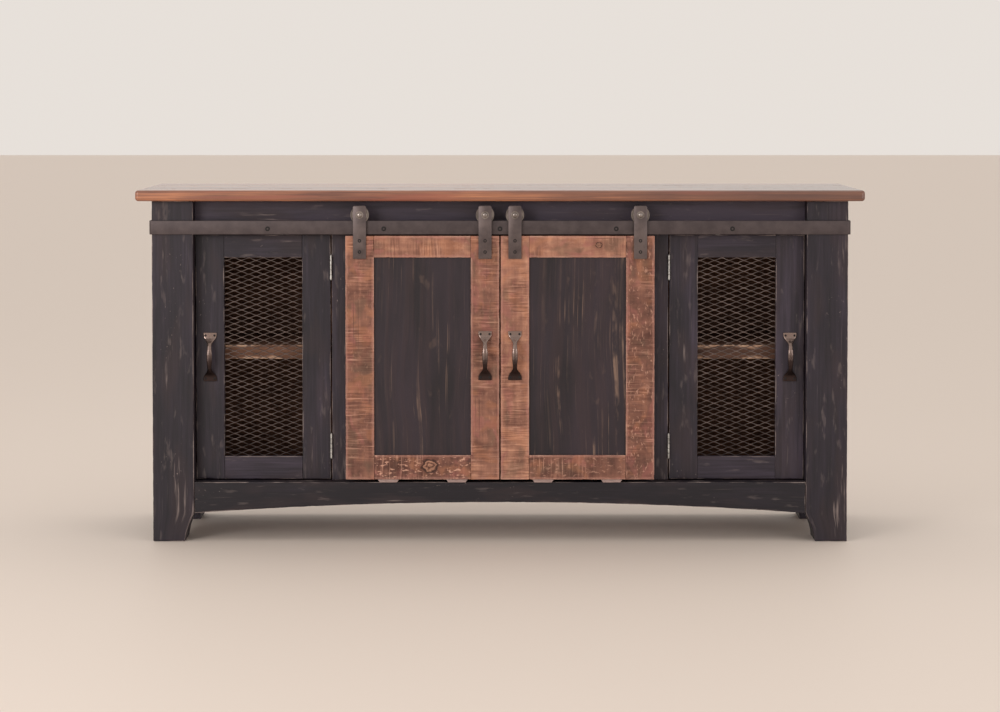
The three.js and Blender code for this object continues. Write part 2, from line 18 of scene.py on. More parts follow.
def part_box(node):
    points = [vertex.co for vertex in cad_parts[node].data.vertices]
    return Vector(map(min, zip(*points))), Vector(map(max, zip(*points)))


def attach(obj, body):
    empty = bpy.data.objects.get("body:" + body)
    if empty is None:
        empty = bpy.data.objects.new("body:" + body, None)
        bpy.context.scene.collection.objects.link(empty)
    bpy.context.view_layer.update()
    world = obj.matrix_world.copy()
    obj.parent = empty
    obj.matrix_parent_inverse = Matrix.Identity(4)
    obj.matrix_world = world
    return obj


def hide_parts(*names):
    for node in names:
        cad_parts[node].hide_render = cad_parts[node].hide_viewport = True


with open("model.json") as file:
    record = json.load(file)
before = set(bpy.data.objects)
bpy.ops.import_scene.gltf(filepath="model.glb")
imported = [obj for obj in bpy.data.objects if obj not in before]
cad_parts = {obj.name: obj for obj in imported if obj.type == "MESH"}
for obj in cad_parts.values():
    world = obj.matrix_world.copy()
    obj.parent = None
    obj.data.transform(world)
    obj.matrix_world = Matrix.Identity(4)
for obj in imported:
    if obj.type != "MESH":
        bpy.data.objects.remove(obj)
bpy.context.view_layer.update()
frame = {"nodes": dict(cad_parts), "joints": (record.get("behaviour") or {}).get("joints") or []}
SIDES = {"left": -1, "right": 1}
MM = 0.001
random.seed(7)


def span(node, axis):
    """A node's size along one axis, in whole millimetres."""
    low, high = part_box(node)
    return round((high[axis] - low[axis]) / MM)


# %% [markdown]
# ## Camera
# The camera stands far away and has a long lens, so that the cabinet's uprights stay parallel. It is higher
# than the top and looks down a little, and a small lens shift brings the cabinet into the middle.

# %% Camera
post_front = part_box("post_front_left")[0].y
CAMERA_DISTANCE = 6.525
CAMERA_HEIGHT = 1.103
LOOK_DOWN = math.radians(2.4)
FOCAL_LENGTH = 96.2
LENS_SHIFT = -0.152
lens = bpy.data.cameras.new("long_lens")
lens.lens = FOCAL_LENGTH
lens.sensor_width = 36
lens.shift_y = LENS_SHIFT
lens.clip_end = 200
camera = bpy.data.objects.new("camera", lens)
camera.location = (0, post_front - CAMERA_DISTANCE, CAMERA_HEIGHT)
camera.rotation_euler = (math.pi / 2 - LOOK_DOWN, 0, 0)
bpy.context.scene.collection.objects.link(camera)
bpy.context.scene.camera = camera
print("the camera stands", CAMERA_DISTANCE, "m before the posts")

# %% [markdown]
# ## Shader maths
# A finish is a graph of nodes, and a graph is easier to read as arithmetic. `Value` wraps one output
# socket, and its operators add Math nodes. `Finish` holds a material and makes every other node through one
# method.


# %% Socket wrapper
class Value:
    """One output socket, which can be added, multiplied and compared like a number."""

    def __init__(self, finish, socket):
        self.finish = finish
        self.socket = socket

    def _math(self, operation, *values):
        return self.finish.node("ShaderNodeMath", {"operation": operation}, values)

    def __add__(self, other):
        return self._math("ADD", self, other)

    def __sub__(self, other):
        return self._math("SUBTRACT", self, other)

    def __rsub__(self, other):
        return self._math("SUBTRACT", other, self)

    def __mul__(self, other):
        return self._math("MULTIPLY", self, other)

    def __truediv__(self, other):
        return self._math("DIVIDE", self, other)

    def __pow__(self, other):
        return self._math("POWER", self, other)

    __radd__ = __add__
    __rmul__ = __mul__

    def least(self, other):
        return self._math("MINIMUM", self, other)

    def most(self, other):
        return self._math("MAXIMUM", self, other)


class Finish:
    """A material whose nodes are made by expressions."""

    def __init__(self, name, slot):
        self.material = bpy.data.materials.new(name)
        self.material.use_nodes = True
        self.material["slot"] = slot
        self.tree = self.material.node_tree
        self.surface = self.tree.nodes["Principled BSDF"]

    def node(self, kind, settings=None, inputs=(), out=0):
        made = self.tree.nodes.new(kind)
        for key, value in (settings or {}).items():
            if key == "stops":
                self._set_stops(made.color_ramp, value)
            else:
                setattr(made, key, value)
        pairs = inputs.items() if isinstance(inputs, dict) else enumerate(inputs)
        for key, value in pairs:
            self.plug(made.inputs[key], value)
        return Value(self, made.outputs[out])

    def _set_stops(self, ramp, stops):
        while len(ramp.elements) < len(stops):
            ramp.elements.new(1)
        for element, (position, color) in zip(ramp.elements, stops):
            element.position = position
            element.color = (*color, 1)

    def plug(self, socket, value):
        if isinstance(value, Value):
            self.tree.links.new(value.socket, socket)
        else:
            socket.default_value = value

    def attribute(self, name):
        return self.node("ShaderNodeAttribute", {"attribute_name": name}, out="Vector")

    def place(self):
        return self.node("ShaderNodeTexCoord", out="Object")

    def parts(self, vector):
        split = self.node("ShaderNodeSeparateXYZ", inputs=[vector]).socket.node
        return [Value(self, output) for output in split.outputs]

    def stretched(self, vector, scale):
        return self.node("ShaderNodeVectorMath", {"operation": "MULTIPLY"}, [vector, scale])

    def cloud(self, vector, scale, detail=2.0, distortion=0.0):
        """Noise from 0 to 1 whose blotches are about 1/scale long along each axis."""
        moved = self.stretched(vector, scale)
        inputs = {"Vector": moved, "Scale": 1.0, "Detail": detail, "Distortion": distortion}
        return self.node("ShaderNodeTexNoise", inputs=inputs)

    def ramp(self, value, low, high):
        """0 below low, 1 above high, and a smooth step between. It falls where low is above high."""
        inputs = {"Value": value, "From Min": low, "From Max": high}
        if low > high:
            return 1 - self.ramp(value, high, low)
        return self.node("ShaderNodeMapRange", {"interpolation_type": "SMOOTHSTEP"}, inputs)

    def patches(self, vector, scale, low, high, detail=2.0, distortion=0.0):
        """A mask of the places where a cloud rises past low."""
        return self.ramp(self.cloud(vector, scale, detail, distortion), low, high)

    def tint(self, value, stops):
        return self.node("ShaderNodeValToRGB", {"stops": stops}, [value])

    def mix(self, mask, under, over):
        under = (*under, 1) if isinstance(under, tuple) else under
        over = (*over, 1) if isinstance(over, tuple) else over
        inputs = {0: mask, 6: under, 7: over}
        return self.node("ShaderNodeMix", {"data_type": "RGBA"}, inputs, out=2)

    def relief(self, height, depth):
        """Raises the surface by height times depth, in metres."""
        inputs = {"Strength": 1.0, "Distance": depth, "Height": height}
        self.plug(self.surface.inputs["Normal"], self.node("ShaderNodeBump", inputs=inputs))

    def done(self, **sockets):
        for name, value in sockets.items():
            self.plug(self.surface.inputs[name.replace("_", " ")], value)
        return self.material


def shade(red, green, blue):
    """A colour given on the 0 to 255 scale of a paint chart, as the linear values that shaders use."""
    return tuple(((c / 255 + 0.055) / 1.055) ** 2.4 for c in (red, green, blue))


print("paint chart grey 128 is", round(shade(128, 128, 128)[0], 3), "in linear light")

# %% [markdown]
# ## Finishes of wood
# Each board carries three attributes. `grain` is a place in the board's own axes in metres: along, across
# and through it. `inset` is how far a point lies from the nearest face on each axis, and the second
# smallest of the three is its distance from the nearest arris. `look` holds the board's tone and how worn
# it is.


# %% What every wooden finish reads
def board_facts(finish):
    """The grain coordinates, the distance to the arris in mm, the tone and the wear of a board."""
    grain = finish.attribute("grain")
    a, b, c = finish.parts(finish.attribute("inset"))
    to_arris = a.least(b).most(a.most(b).least(c)) * (1 / MM)
    tone, worn, bare = finish.parts(finish.attribute("look"))
    return grain, to_arris, tone, worn * bare


def rubbed_arris(finish, grain, to_arris, worn, reach):
    """A mask of the ragged strip along an arris where the finish has gone."""
    patches = finish.patches(grain, (14, 14, 14), 0.42, 0.68, 3)
    ragged = finish.cloud(grain, (420, 420, 420), 2) - 0.5
    width = worn * (0.3 + patches * reach)
    return finish.ramp((to_arris + ragged * 1.6) / width, 1.15, 0.35)


# %% Black paint over pine
def painted_wood():
    finish = Finish("painted_wood", "painted_wood")
    grain, to_arris, tone, worn = board_facts(finish)
    broad = finish.cloud(grain, (4, 13, 13), 3, 0.4)
    warm = finish.patches(grain, (6, 20, 20), 0.46, 0.66)
    streaks = finish.cloud(grain, (7, 150, 150), 3)
    fine = finish.cloud(grain, (14, 420, 420), 3)
    paint = finish.tint(
        broad * 0.45 + streaks * 0.35 + tone * 0.2,
        [(0.32, shade(22, 17, 25)), (0.48, shade(38, 31, 41)), (0.64, shade(61, 52, 65))],
    )
    paint = finish.mix(warm * 0.38, paint, shade(52, 38, 40))
    bare = finish.tint(fine, [(0.3, shade(108, 94, 92)), (0.7, shade(172, 156, 150))])
    strokes = finish.patches(grain, (9, 110, 110), 0.56, 0.72, 3)
    scuffs = strokes * finish.patches(grain, (6, 20, 20), 0.63, 0.73, 1)
    hairs = finish.patches(grain, (9, 330, 330), 0.60, 0.80)
    hairs = hairs * finish.patches(grain, (7, 22, 22), 0.46, 0.66)
    chips = finish.patches(grain, (150, 210, 210), 0.69, 0.76)
    chips = chips * finish.patches(grain, (6, 13, 13), 0.57, 0.66, 1, 0.5)
    dull = finish.patches(grain, (16, 60, 60), 0.60, 0.74, 3)
    edge = rubbed_arris(finish, grain, to_arris, worn, 2.6)
    gone = (scuffs * 0.62).most(hairs * 0.14).most(chips * 0.55).most(edge * 0.75).most(dull * 0.20)
    finish.relief(streaks * 0.5 + fine * 0.4 + gone * -0.5, 0.0005)
    return finish.done(
        Base_Color=finish.mix(gone, paint, bare),
        Roughness=0.42 + broad * 0.16 + gone * 0.2,
        Specular_IOR_Level=0.4,
    )


# %% Black paint rubbed back along the grain of a panel
def rubbed_panel():
    finish = Finish("rubbed_panel", "painted_panel")
    grain, to_arris, tone, worn = board_facts(finish)
    along, across, through = finish.parts(grain)
    drift = finish.cloud(grain, (2.6, 6, 1), 1) - 0.5
    rings = across + drift * 0.045
    place = finish.node("ShaderNodeCombineXYZ", inputs=[along, rings, through])
    lines = finish.patches(place, (2.0, 105, 1), 0.56, 0.74)
    thin = finish.patches(place, (2.2, 300, 1), 0.60, 0.74, 1)
    regions = finish.patches(grain, (3, 11, 1), 0.46, 0.62)
    broken = finish.patches(grain, (16, 44, 9), 0.38, 0.62, 3)
    smears = finish.patches(grain, (20, 40, 1), 0.64, 0.78)
    edge = rubbed_arris(finish, grain, to_arris, worn, 2.0)
    amount = 0.42 + tone * 0.4
    rubbed = (lines.most(thin * 0.45) * broken * (0.12 + regions * 0.88)).most(smears * 0.18)
    gone = (rubbed * amount).most(edge * 0.6)
    broad = finish.cloud(grain, (4, 14, 14), 3)
    brown = finish.patches(place, (3, 60, 1), 0.42, 0.66)
    paint = finish.tint(broad, [(0.35, shade(28, 20, 26)), (0.65, shade(46, 35, 43))])
    paint = finish.mix(brown * 0.35, paint, shade(58, 41, 43))
    finish.relief(brown * 0.5 + gone * -0.5, 0.0004)
    return finish.done(
        Base_Color=finish.mix(gone, paint, shade(142, 115, 98)),
        Roughness=0.48 + gone * 0.2,
        Specular_IOR_Level=0.4,
    )


# %% Rough-sawn pine
def knot_masks(finish):
    """The core of a knot with its rings, the dark ring round it, and the halo of bent grain outside."""
    along, across, _ = finish.parts(finish.attribute("knot"))
    rough = finish.cloud(finish.attribute("knot"), (0.8, 1.5, 1), 4) - 0.5
    squeezed = along * 0.8
    distance = (squeezed * squeezed + across * across) ** 0.5 + rough * 1.4
    rings = finish.node("ShaderNodeMath", {"operation": "SINE"}, [distance * 11]) * 0.5 + 0.5
    core = finish.ramp(distance, 1.0, 0.85)
    bark = finish.ramp(distance, 0.75, 0.95) * finish.ramp(distance, 1.25, 1.0)
    halo = finish.ramp(distance, 2.6, 1.0)
    return core, rings, bark, halo


def sawn_pine():
    finish = Finish("sawn_pine", "sawn_pine")
    grain, to_arris, tone, worn = board_facts(finish)
    bands = finish.cloud(grain, (26, 5, 5), 3)
    streaks = finish.cloud(grain, (6, 75, 75), 3)
    blotch = finish.cloud(grain, (44, 34, 34), 4, 0.3)
    wood = finish.tint(
        bands * 0.30 + streaks * 0.20 + blotch * 0.26 + tone * 0.24,
        [
            (0.36, shade(90, 60, 50)),
            (0.45, shade(124, 84, 70)),
            (0.54, shade(152, 106, 87)),
            (0.65, shade(192, 140, 114)),
        ],
    )
    olive = finish.patches(grain, (15, 26, 26), 0.52, 0.66)
    rosy = finish.patches(grain, (17, 30, 30), 0.52, 0.66, 2, 0.5)
    amber = finish.patches(grain, (21, 18, 18), 0.52, 0.66, 2, 0.5)
    wood = finish.mix(olive * 0.45, wood, shade(106, 84, 68))
    wood = finish.mix(rosy * 0.48, wood, shade(160, 100, 92))
    wood = finish.mix(amber * 0.30, wood, shade(184, 122, 86))
    saw = finish.cloud(grain, (240, 16, 16), 2)
    sawn_here = finish.patches(grain, (12, 9, 9), 0.44, 0.60)
    marks = finish.ramp(saw, 0.54, 0.40) * (0.2 + sawn_here * 0.8)
    pale = finish.ramp(saw, 0.58, 0.70) * sawn_here
    torn = finish.patches(grain, (90, 190, 190), 0.57, 0.68, 4, 0.6)
    lines = finish.patches(grain, (3, 260, 260), 0.61, 0.72, 1)
    lines = lines * finish.patches(grain, (4, 34, 34), 0.50, 0.62, 1)
    weathered = finish.ramp(tone, 0.34, 0.12)
    mottled = finish.patches(grain, (70, 60, 60), 0.50, 0.62, 3, 0.4) * weathered
    wood = finish.mix(mottled * 0.55, wood, shade(84, 52, 48))
    wood = finish.mix(marks * 0.46, wood, shade(84, 52, 45))
    wood = finish.mix((pale * 0.4).most(torn * (0.14 + weathered * 0.66)), wood, shade(218, 168, 144))
    wood = finish.mix(lines * 0.65, wood, shade(84, 54, 46))
    core, rings, bark, halo = knot_masks(finish)
    wood = finish.mix(halo * 0.4, wood, shade(108, 68, 54))
    heart = finish.mix(rings * blotch * 1.4, shade(80, 47, 38), shade(186, 138, 112))
    wood = finish.mix(core * 0.9, wood, heart)
    wood = finish.mix(bark * 0.9, wood, shade(52, 30, 26))
    strip = finish.ramp((to_arris + blotch * 10 - 5) / worn, 6.5, 4)
    wood = finish.mix(strip * 0.32, wood, shade(186, 136, 122))
    edge = rubbed_arris(finish, grain, to_arris, worn, 2.8)
    finish.relief(marks * -0.6 + lines * -0.5 + blotch * 0.4 + streaks * 0.3 - bark * 0.6, 0.0007)
    return finish.done(
        Base_Color=finish.mix(edge * 0.6, wood, shade(196, 156, 138)),
        Roughness=0.62 + marks * 0.15,
        Specular_IOR_Level=0.3,
    )


# %% Stained plank top
def stained_top():
    finish = Finish("stained_top", "stained_top")
    grain, to_arris, tone, worn = board_facts(finish)
    broad = finish.cloud(grain, (3.4, 20, 20), 3)
    figure = finish.cloud(grain, (3, 160, 160), 3, 0.4)
    hair = finish.cloud(grain, (6, 520, 520), 3)
    pores = finish.cloud(grain, (22, 700, 700), 2)
    stain = finish.tint(
        broad * 0.38 + figure * 0.30 + hair * 0.20 + tone * 0.12,
        [
            (0.36, shade(72, 43, 35)),
            (0.46, shade(112, 68, 53)),
            (0.54, shade(142, 90, 66)),
            (0.62, shade(186, 120, 82)),
        ],
    )
    red = finish.patches(grain, (3, 60, 60), 0.52, 0.66)
    stain = finish.mix(red * 0.4, stain, shade(156, 78, 62))
    right_end = finish.ramp(finish.parts(finish.place())[0], -0.35, 0.88)
    stain = finish.mix(right_end * 0.55, stain, shade(78, 54, 47))
    pored = finish.ramp(pores, 0.58, 0.72) * 0.35
    stain = finish.mix(pored, stain, shade(66, 38, 30))
    edge = rubbed_arris(finish, grain, to_arris, worn, 2.2)
    finish.relief(pores * -0.4 + figure * 0.4 + hair * 0.3, 0.0003)
    return finish.done(
        Base_Color=finish.mix(edge * 0.5, stain, shade(198, 142, 116)),
        Roughness=0.30 + figure * 0.1,
        Specular_IOR_Level=0.5,
        Coat_Weight=0.7,
        Coat_Roughness=0.16,
    )


# %% Dark stained inner wood
def inner_wood():
    finish = Finish("inner_wood", "bare_wood")
    grain, to_arris, tone, worn = board_facts(finish)
    broad = finish.cloud(grain, (3, 14, 14), 3)
    figure = finish.cloud(grain, (3, 130, 130), 3, 0.5)
    hair = finish.cloud(grain, (6, 460, 460), 3)
    rough = finish.cloud(grain, (60, 150, 150), 3)
    wood = finish.tint(
        broad * 0.33 + figure * 0.30 + hair * 0.19 + tone * 0.18,
        [
            (0.3, shade(62, 40, 31)),
            (0.5, shade(98, 64, 47)),
            (0.7, shade(134, 94, 70)),
            (0.95, shade(214, 168, 138)),
        ],
    )
    edge = rubbed_arris(finish, grain, to_arris, worn, 6.0)
    worn_colour = finish.tint(rough, [(0.35, shade(150, 108, 84)), (0.65, shade(206, 172, 146))])
    finish.relief(figure * 0.4 + hair * 0.3 + rough * worn, 0.0006)
    return finish.done(Base_Color=finish.mix(edge, wood, worn_colour), Roughness=0.66 + rough * 0.15)


# %% [markdown]
# ## Finishes of metal and plastic
# The track and the straps are dark, slightly mottled steel. The pulls are cast, and their upper halves are
# painted lighter as a painted reflection and their lower halves darker as painted shade. The hinges are
# bright zinc. These finishes read the object's own coordinates.


# %% Metal and nylon
def steel(name, slot, dark, light, roughness, metallic):
    finish = Finish(name, slot)
    place = finish.place()
    mottle = finish.cloud(place, (38, 38, 38), 3)
    grit = finish.cloud(place, (700, 700, 700), 2)
    finish.relief(mottle * 0.4 + grit * 0.2, 0.0003)
    return finish.done(
        Base_Color=finish.tint(mottle * 0.7 + grit * 0.3, [(0.35, dark), (0.65, light)]),
        Roughness=roughness + mottle * 0.14,
        Metallic=metallic,
    )


def cast_pull():
    """Cast iron with a painted reflection: lighter above the middle of the pull, and darker below it as
    painted shade.
    """
    finish = Finish("cast_pull", "cast_iron")
    place = finish.place()
    height = finish.parts(place)[2]
    grit = finish.cloud(place, (300, 300, 300), 3)
    # Painted reflection above the middle of the pull and painted shade below it, mixed into the base colour.
    painted_reflection = finish.ramp(height + (grit - 0.5) * 0.03, 0.438, 0.478)
    colour = finish.mix(painted_reflection, shade(54, 42, 40), shade(136, 118, 111))
    finish.relief(grit, 0.0002)
    return finish.done(Base_Color=colour, Roughness=0.36 - painted_reflection * 0.1, Metallic=0.85)


def nylon():
    finish = Finish("glide_nylon", "nylon")
    scratches = finish.cloud(finish.place(), (60, 400, 900), 2)
    colour = finish.tint(scratches, [(0.3, shade(138, 116, 112)), (0.7, shade(178, 154, 148))])
    finish.relief(scratches, 0.0001)
    return finish.done(Base_Color=colour, Roughness=0.4 + scratches * 0.1)


def dark_hole():
    finish = Finish("screw_black", "dark_steel")
    grit = finish.cloud(finish.place(), (500, 500, 500), 2)
    colour = finish.tint(grit, [(0.3, shade(16, 13, 13)), (0.7, shade(32, 27, 27))])
    return finish.done(Base_Color=colour, Roughness=0.55 + grit * 0.2, Metallic=0.3)


PAINT = painted_wood()
PANEL = rubbed_panel()
PINE = sawn_pine()
TOP = stained_top()
INNER = inner_wood()
TRACK = steel("track_steel", "dark_steel", shade(68, 59, 60), shade(84, 74, 74), 0.40, 0.55)
STRAP = steel("strap_steel", "dark_steel", shade(78, 68, 68), shade(104, 92, 90), 0.34, 0.55)
WHEEL = steel("wheel_steel", "dark_steel", shade(104, 96, 93), shade(166, 156, 150), 0.22, 0.9)
MESH = steel("mesh_steel", "mesh_steel", shade(84, 74, 72), shade(154, 140, 136), 0.30, 0.8)
CAST = cast_pull()
ZINC = steel("bright_zinc", "zinc", shade(136, 134, 131), shade(204, 202, 198), 0.28, 0.95)
NYLON = nylon()
BLACK = dark_hole()
print(len(bpy.data.materials), "finishes are ready, and", PINE.name, "carries the knots")

# %% [markdown]
# ## From a cube to a board
# A board starts as a cube of its own size. Its arrises are bevelled, loops are cut close to them, and the
# long edges between are subdivided. Then every point sinks a little: chips at the arris, waves in the face,
# and saw marks across rough boards. Points only move inwards, so a board never outgrows the frame.


# %% The bench: finishing any mesh
def mesh_of(name, bm):
    mesh = bpy.data.meshes.new(name)
    bm.to_mesh(mesh)
    bm.free()
    return mesh


def linked(name, data):
    thing = bpy.data.objects.new(name, data)
    bpy.context.scene.collection.objects.link(thing)
    return thing


def mark_sharp(bm, limit):
    """Keeps shading crisp at the edges that turn by more than a limit."""
    for edge in bm.edges:
        edge.smooth = edge.is_manifold and edge.calc_face_angle(0) < limit


def finished(name, bm, material, body, nodes=(), sharp=35):
    """Turns a bmesh into a piece that rides on a body and stands for CAD nodes."""
    for face in bm.faces:
        face.smooth = True
    mark_sharp(bm, math.radians(sharp))
    mesh = mesh_of(name, bm)
    mesh.materials.append(material)
    piece = linked(name, mesh)
    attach(piece, body)
    if nodes:
        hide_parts(*nodes)
    return piece


# %% The saw bench: boards
NEAR_LOOPS = (0.0006, 0.0022, 0.0055)
ARRIS = 0.0012
ROUND_OVER = 0.0075
SEAM_ARRIS = 0.0005
CELL = 0.014
CELL_ALONG = 0.010
SAWN_CELL = 0.0026
WAVE_DEPTH = 0.00018
CHIP_DEPTH = 0.0016
CHIP_REACH = 0.005
FAR_KNOT = Vector((9, 9, 0))
JOINT = 0.0001
CLEARANCE = 0.0003
SHELTERED = 0.15


def verts_of(geometry):
    return [part for part in geometry if isinstance(part, bmesh.types.BMVert)]


def face_of(geometry):
    return next(part for part in geometry if isinstance(part, bmesh.types.BMFace))


def arrises(bm):
    return [edge for edge in bm.edges if edge.calc_face_angle(0) > 0.6]


def box_bmesh(low, high):
    bm = bmesh.new()
    bmesh.ops.create_cube(bm, size=1)
    bmesh.ops.scale(bm, vec=high - low, verts=bm.verts)
    bmesh.ops.translate(bm, vec=(low + high) / 2, verts=bm.verts)
    return bm


def bevelled(bm, edges, width, segments):
    options = {"affect": "EDGES", "profile": 0.5, "material": -1, "clamp_overlap": True}
    bmesh.ops.bevel(bm, geom=edges, offset=width, segments=segments, **options)


def cut_loops(bm, low, high, arris):
    for axis in range(3):
        normal = Vector([float(axis == i) for i in range(3)])
        for loop in NEAR_LOOPS:
            distance = arris + loop
            if distance < 0.45 * (high[axis] - low[axis]):
                for level in (low[axis] + distance, high[axis] - distance):
                    geometry = bm.verts[:] + bm.edges[:] + bm.faces[:]
                    bmesh.ops.bisect_plane(bm, geom=geometry, plane_co=normal * level, plane_no=normal)


def subdivide(bm, low, high, cells):
    for axis in range(3):
        size = high[axis] - low[axis]
        long_edges = [
            edge
            for edge in bm.edges
            if abs(edge.verts[0].co[axis] - edge.verts[1].co[axis]) > 0.3 * size
        ]
        cuts = 2 * int(size / cells[axis] / 2) + 1
        bmesh.ops.subdivide_edges(bm, edges=long_edges, cuts=cuts, use_grid_fill=True)


def board(name, low, high, along, material, body, nodes=(), **options):
    """A board between two corners, with its grain along one axis. The options' defaults come first."""
    worn = options.get("worn", 0.6)
    arris = options.get("arris", ARRIS)
    saw = options.get("saw", 0.0)
    shape = options.get("shape")
    round_over = options.get("round_over")
    butted = options.get("butted", False)
    low = Vector(low)
    high = Vector(high)
    size = high - low
    thin, wide = sorted((i for i in range(3) if i != along), key=lambda i: size[i])
    bm = box_bmesh(low, high)
    if round_over:
        rounded = [e for e in bm.edges if round_over((e.verts[0].co + e.verts[1].co) / 2)]
        bevelled(bm, rounded, ROUND_OVER, 5)
        bevelled(bm, [e for e in arrises(bm) if e.calc_face_angle(0) > 1.2], SEAM_ARRIS, 2)
        arris = ROUND_OVER
    else:
        bevelled(bm, bm.edges[:], arris, 2)
    cut_loops(bm, low, high, arris)
    cells = [CELL, CELL, CELL]
    cells[along] = SAWN_CELL if saw else CELL_ALONG
    subdivide(bm, low, high, cells)

    offset = Vector([random.uniform(0, 9) for _ in range(3)])
    tone = 0.1 + 0.8 * random.random()
    if options.get("tone") is not None:
        tone = options["tone"]
    bare = options.get("bare", lambda point: 1)
    knots = [Vector((a, c, 0)) for a, c, _ in options.get("knots", ())] or [FAR_KNOT]
    radii = [radius for _, _, radius in options.get("knots", ())] or [1]
    grain_layer = bm.verts.layers.float_vector.new("grain")
    inset_layer = bm.verts.layers.float_vector.new("inset")
    look_layer = bm.verts.layers.float_vector.new("look")
    knot_layer = bm.verts.layers.float_vector.new("knot")
    bm.normal_update()
    for vert in bm.verts:
        spot = vert.co - (low + high) / 2
        vert[grain_layer] = Vector((spot[along], spot[wide], spot[thin])) + offset
        inset = Vector([min(vert.co[i] - low[i], high[i] - vert.co[i]) for i in range(3)])
        if butted:
            inset[along] += 1
        vert[inset_layer] = inset
        vert[look_layer] = Vector((tone, worn, bare(vert.co)))
        flat = Vector((spot[along], spot[wide], 0))
        nearest = min(range(len(knots)), key=lambda i: (flat - knots[i]).length / radii[i])
        vert[knot_layer] = (flat - knots[nearest]) / radii[nearest]
        to_arris = sorted(inset)[1]
        place = vert[grain_layer]
        wave = noise.noise(Vector((place.x * 9, place.y * 14, place.z * 14)))
        depth = WAVE_DEPTH * (1 + wave)
        ragged = noise.noise(place * 60) + 0.5 * noise.noise(place * 190)
        depth += worn * CHIP_DEPTH * max(0, ragged - 0.05) * max(0, 1 - to_arris / CHIP_REACH)
        if saw:
            stroke = noise.noise(Vector((place.x * 210, place.y * 9, place.z * 9)))
            depth += saw * max(0, stroke + 0.1)
        vert.co -= vert.normal * depth
    if shape:
        for vert in bm.verts:
            vert.co = shape(vert.co)
    return finished(name, bm, material, body, nodes)


def whole(name, node, along, material, body="cabinet", **options):
    """A board that fills the box of its CAD node."""
    return board(name, *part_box(node), along, material, body, [node], **options)


print("loops are cut", [round(loop / MM, 1) for loop in NEAR_LOOPS], "mm from an arris of", ARRIS / MM, "mm")

# %% [markdown]
# ## The case
# The posts are square, and each foot narrows towards the floor on its inner side: the board is cut square
# first, and then its points below the apron are drawn towards the outer face. The front apron's lower edge
# rises in an arch in the same way.

# %% Posts
TAPER_POWER = 1.7
foot_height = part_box("side_apron_left")[0].z


def foot_width(node):
    """The width of a foot's underside, from the lowest corners of its CAD node."""
    corners = [v.co.x for v in frame["nodes"][node].data.vertices if v.co.z < MM]
    return max(corners) - min(corners)


def tapered(side, outer, inner, narrow):
    def shape(point):
        if point.z >= foot_height:
            return point
        rise = max(point.z, 0) / foot_height
        width = narrow + (inner - narrow) * rise**TAPER_POWER
        return Vector((side * (outer - (outer - side * point.x) * width / inner), point.y, point.z))

    return shape


for word, side in SIDES.items():
    for place in ("front", "rear"):
        node = f"post_{place}_{word}"
        low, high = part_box(node)
        outer = max(side * low.x, side * high.x)
        taper = tapered(side, outer, high.x - low.x, foot_width(node))
        board(f"{place}_post_{word}", low, high, 2, PAINT, "cabinet", [node], shape=taper, worn=0.8)
print("each foot is", round(foot_width("post_front_left") / MM), "mm wide at the floor")

# %% Aprons, header and face frame
apron_low, apron_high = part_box("front_apron")
apron_nodes = frame["nodes"]["front_apron"].data.vertices
arch_top = max(v.co.z for v in apron_nodes if v.co.z < (apron_low.z + apron_high.z) / 2)
half_arch = apron_high.x


def arched(point):
    lift = (arch_top - apron_low.z) * (1 - (point.x / half_arch) ** 2)
    depth = (apron_high.z - point.z) / (apron_high.z - apron_low.z)
    return point + Vector((0, 0, lift * depth))


whole("arched_apron", "front_apron", 0, PAINT, shape=arched, worn=1.1, tone=-0.4)
# The header's tone of 1.1 makes its paint lighter: painted light against the shade under the top's overhang.
whole("header_board", "header_rail", 0, PAINT, worn=0.5, tone=1.1)
whole("rear_apron_board", "rear_apron", 0, PAINT, worn=0.5)
for word in SIDES:
    whole(f"divider_stile_{word}_board", f"divider_stile_{word}", 2, PAINT, worn=0.7)
    whole(f"side_apron_{word}_board", f"side_apron_{word}", 1, PAINT, worn=0.7)
print("the apron's arch rises", round((arch_top - apron_low.z) / MM), "mm")


# %% Sides, floor and dividers, glued up from boards
def glued_up(name, node, along, across, count, materials, **options):
    """A panel of boards side by side, with a fine joint between them. The first may have its own finish."""
    low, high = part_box(node)
    step = (high[across] - low[across]) / count
    for i in range(count):
        first = low.copy()
        last = high.copy()
        first[across] = low[across] + i * step + (JOINT if i else 0)
        last[across] = low[across] + (i + 1) * step
        material = materials[min(i, len(materials) - 1)]
        board(f"{name}_{i + 1}", first, last, along, material, "cabinet", [node], **options)


for word in SIDES:
    glued_up(f"side_board_{word}", f"side_panel_{word}", 2, 1, 2, [PAINT], worn=0.6)
    # The front board of each divider takes the black paint so that the gaps beside the doors show dark:
    # painted shade.
    glued_up(f"divider_board_{word}", f"divider_panel_{word}", 2, 1, 3, [PAINT, INNER], worn=0.3, tone=1.3)
print("each side is glued up from 2 boards and each divider from 3")


# %% The case floor
FLOOR_FRONT = 0.045
FLOOR_SPLIT = 0.55


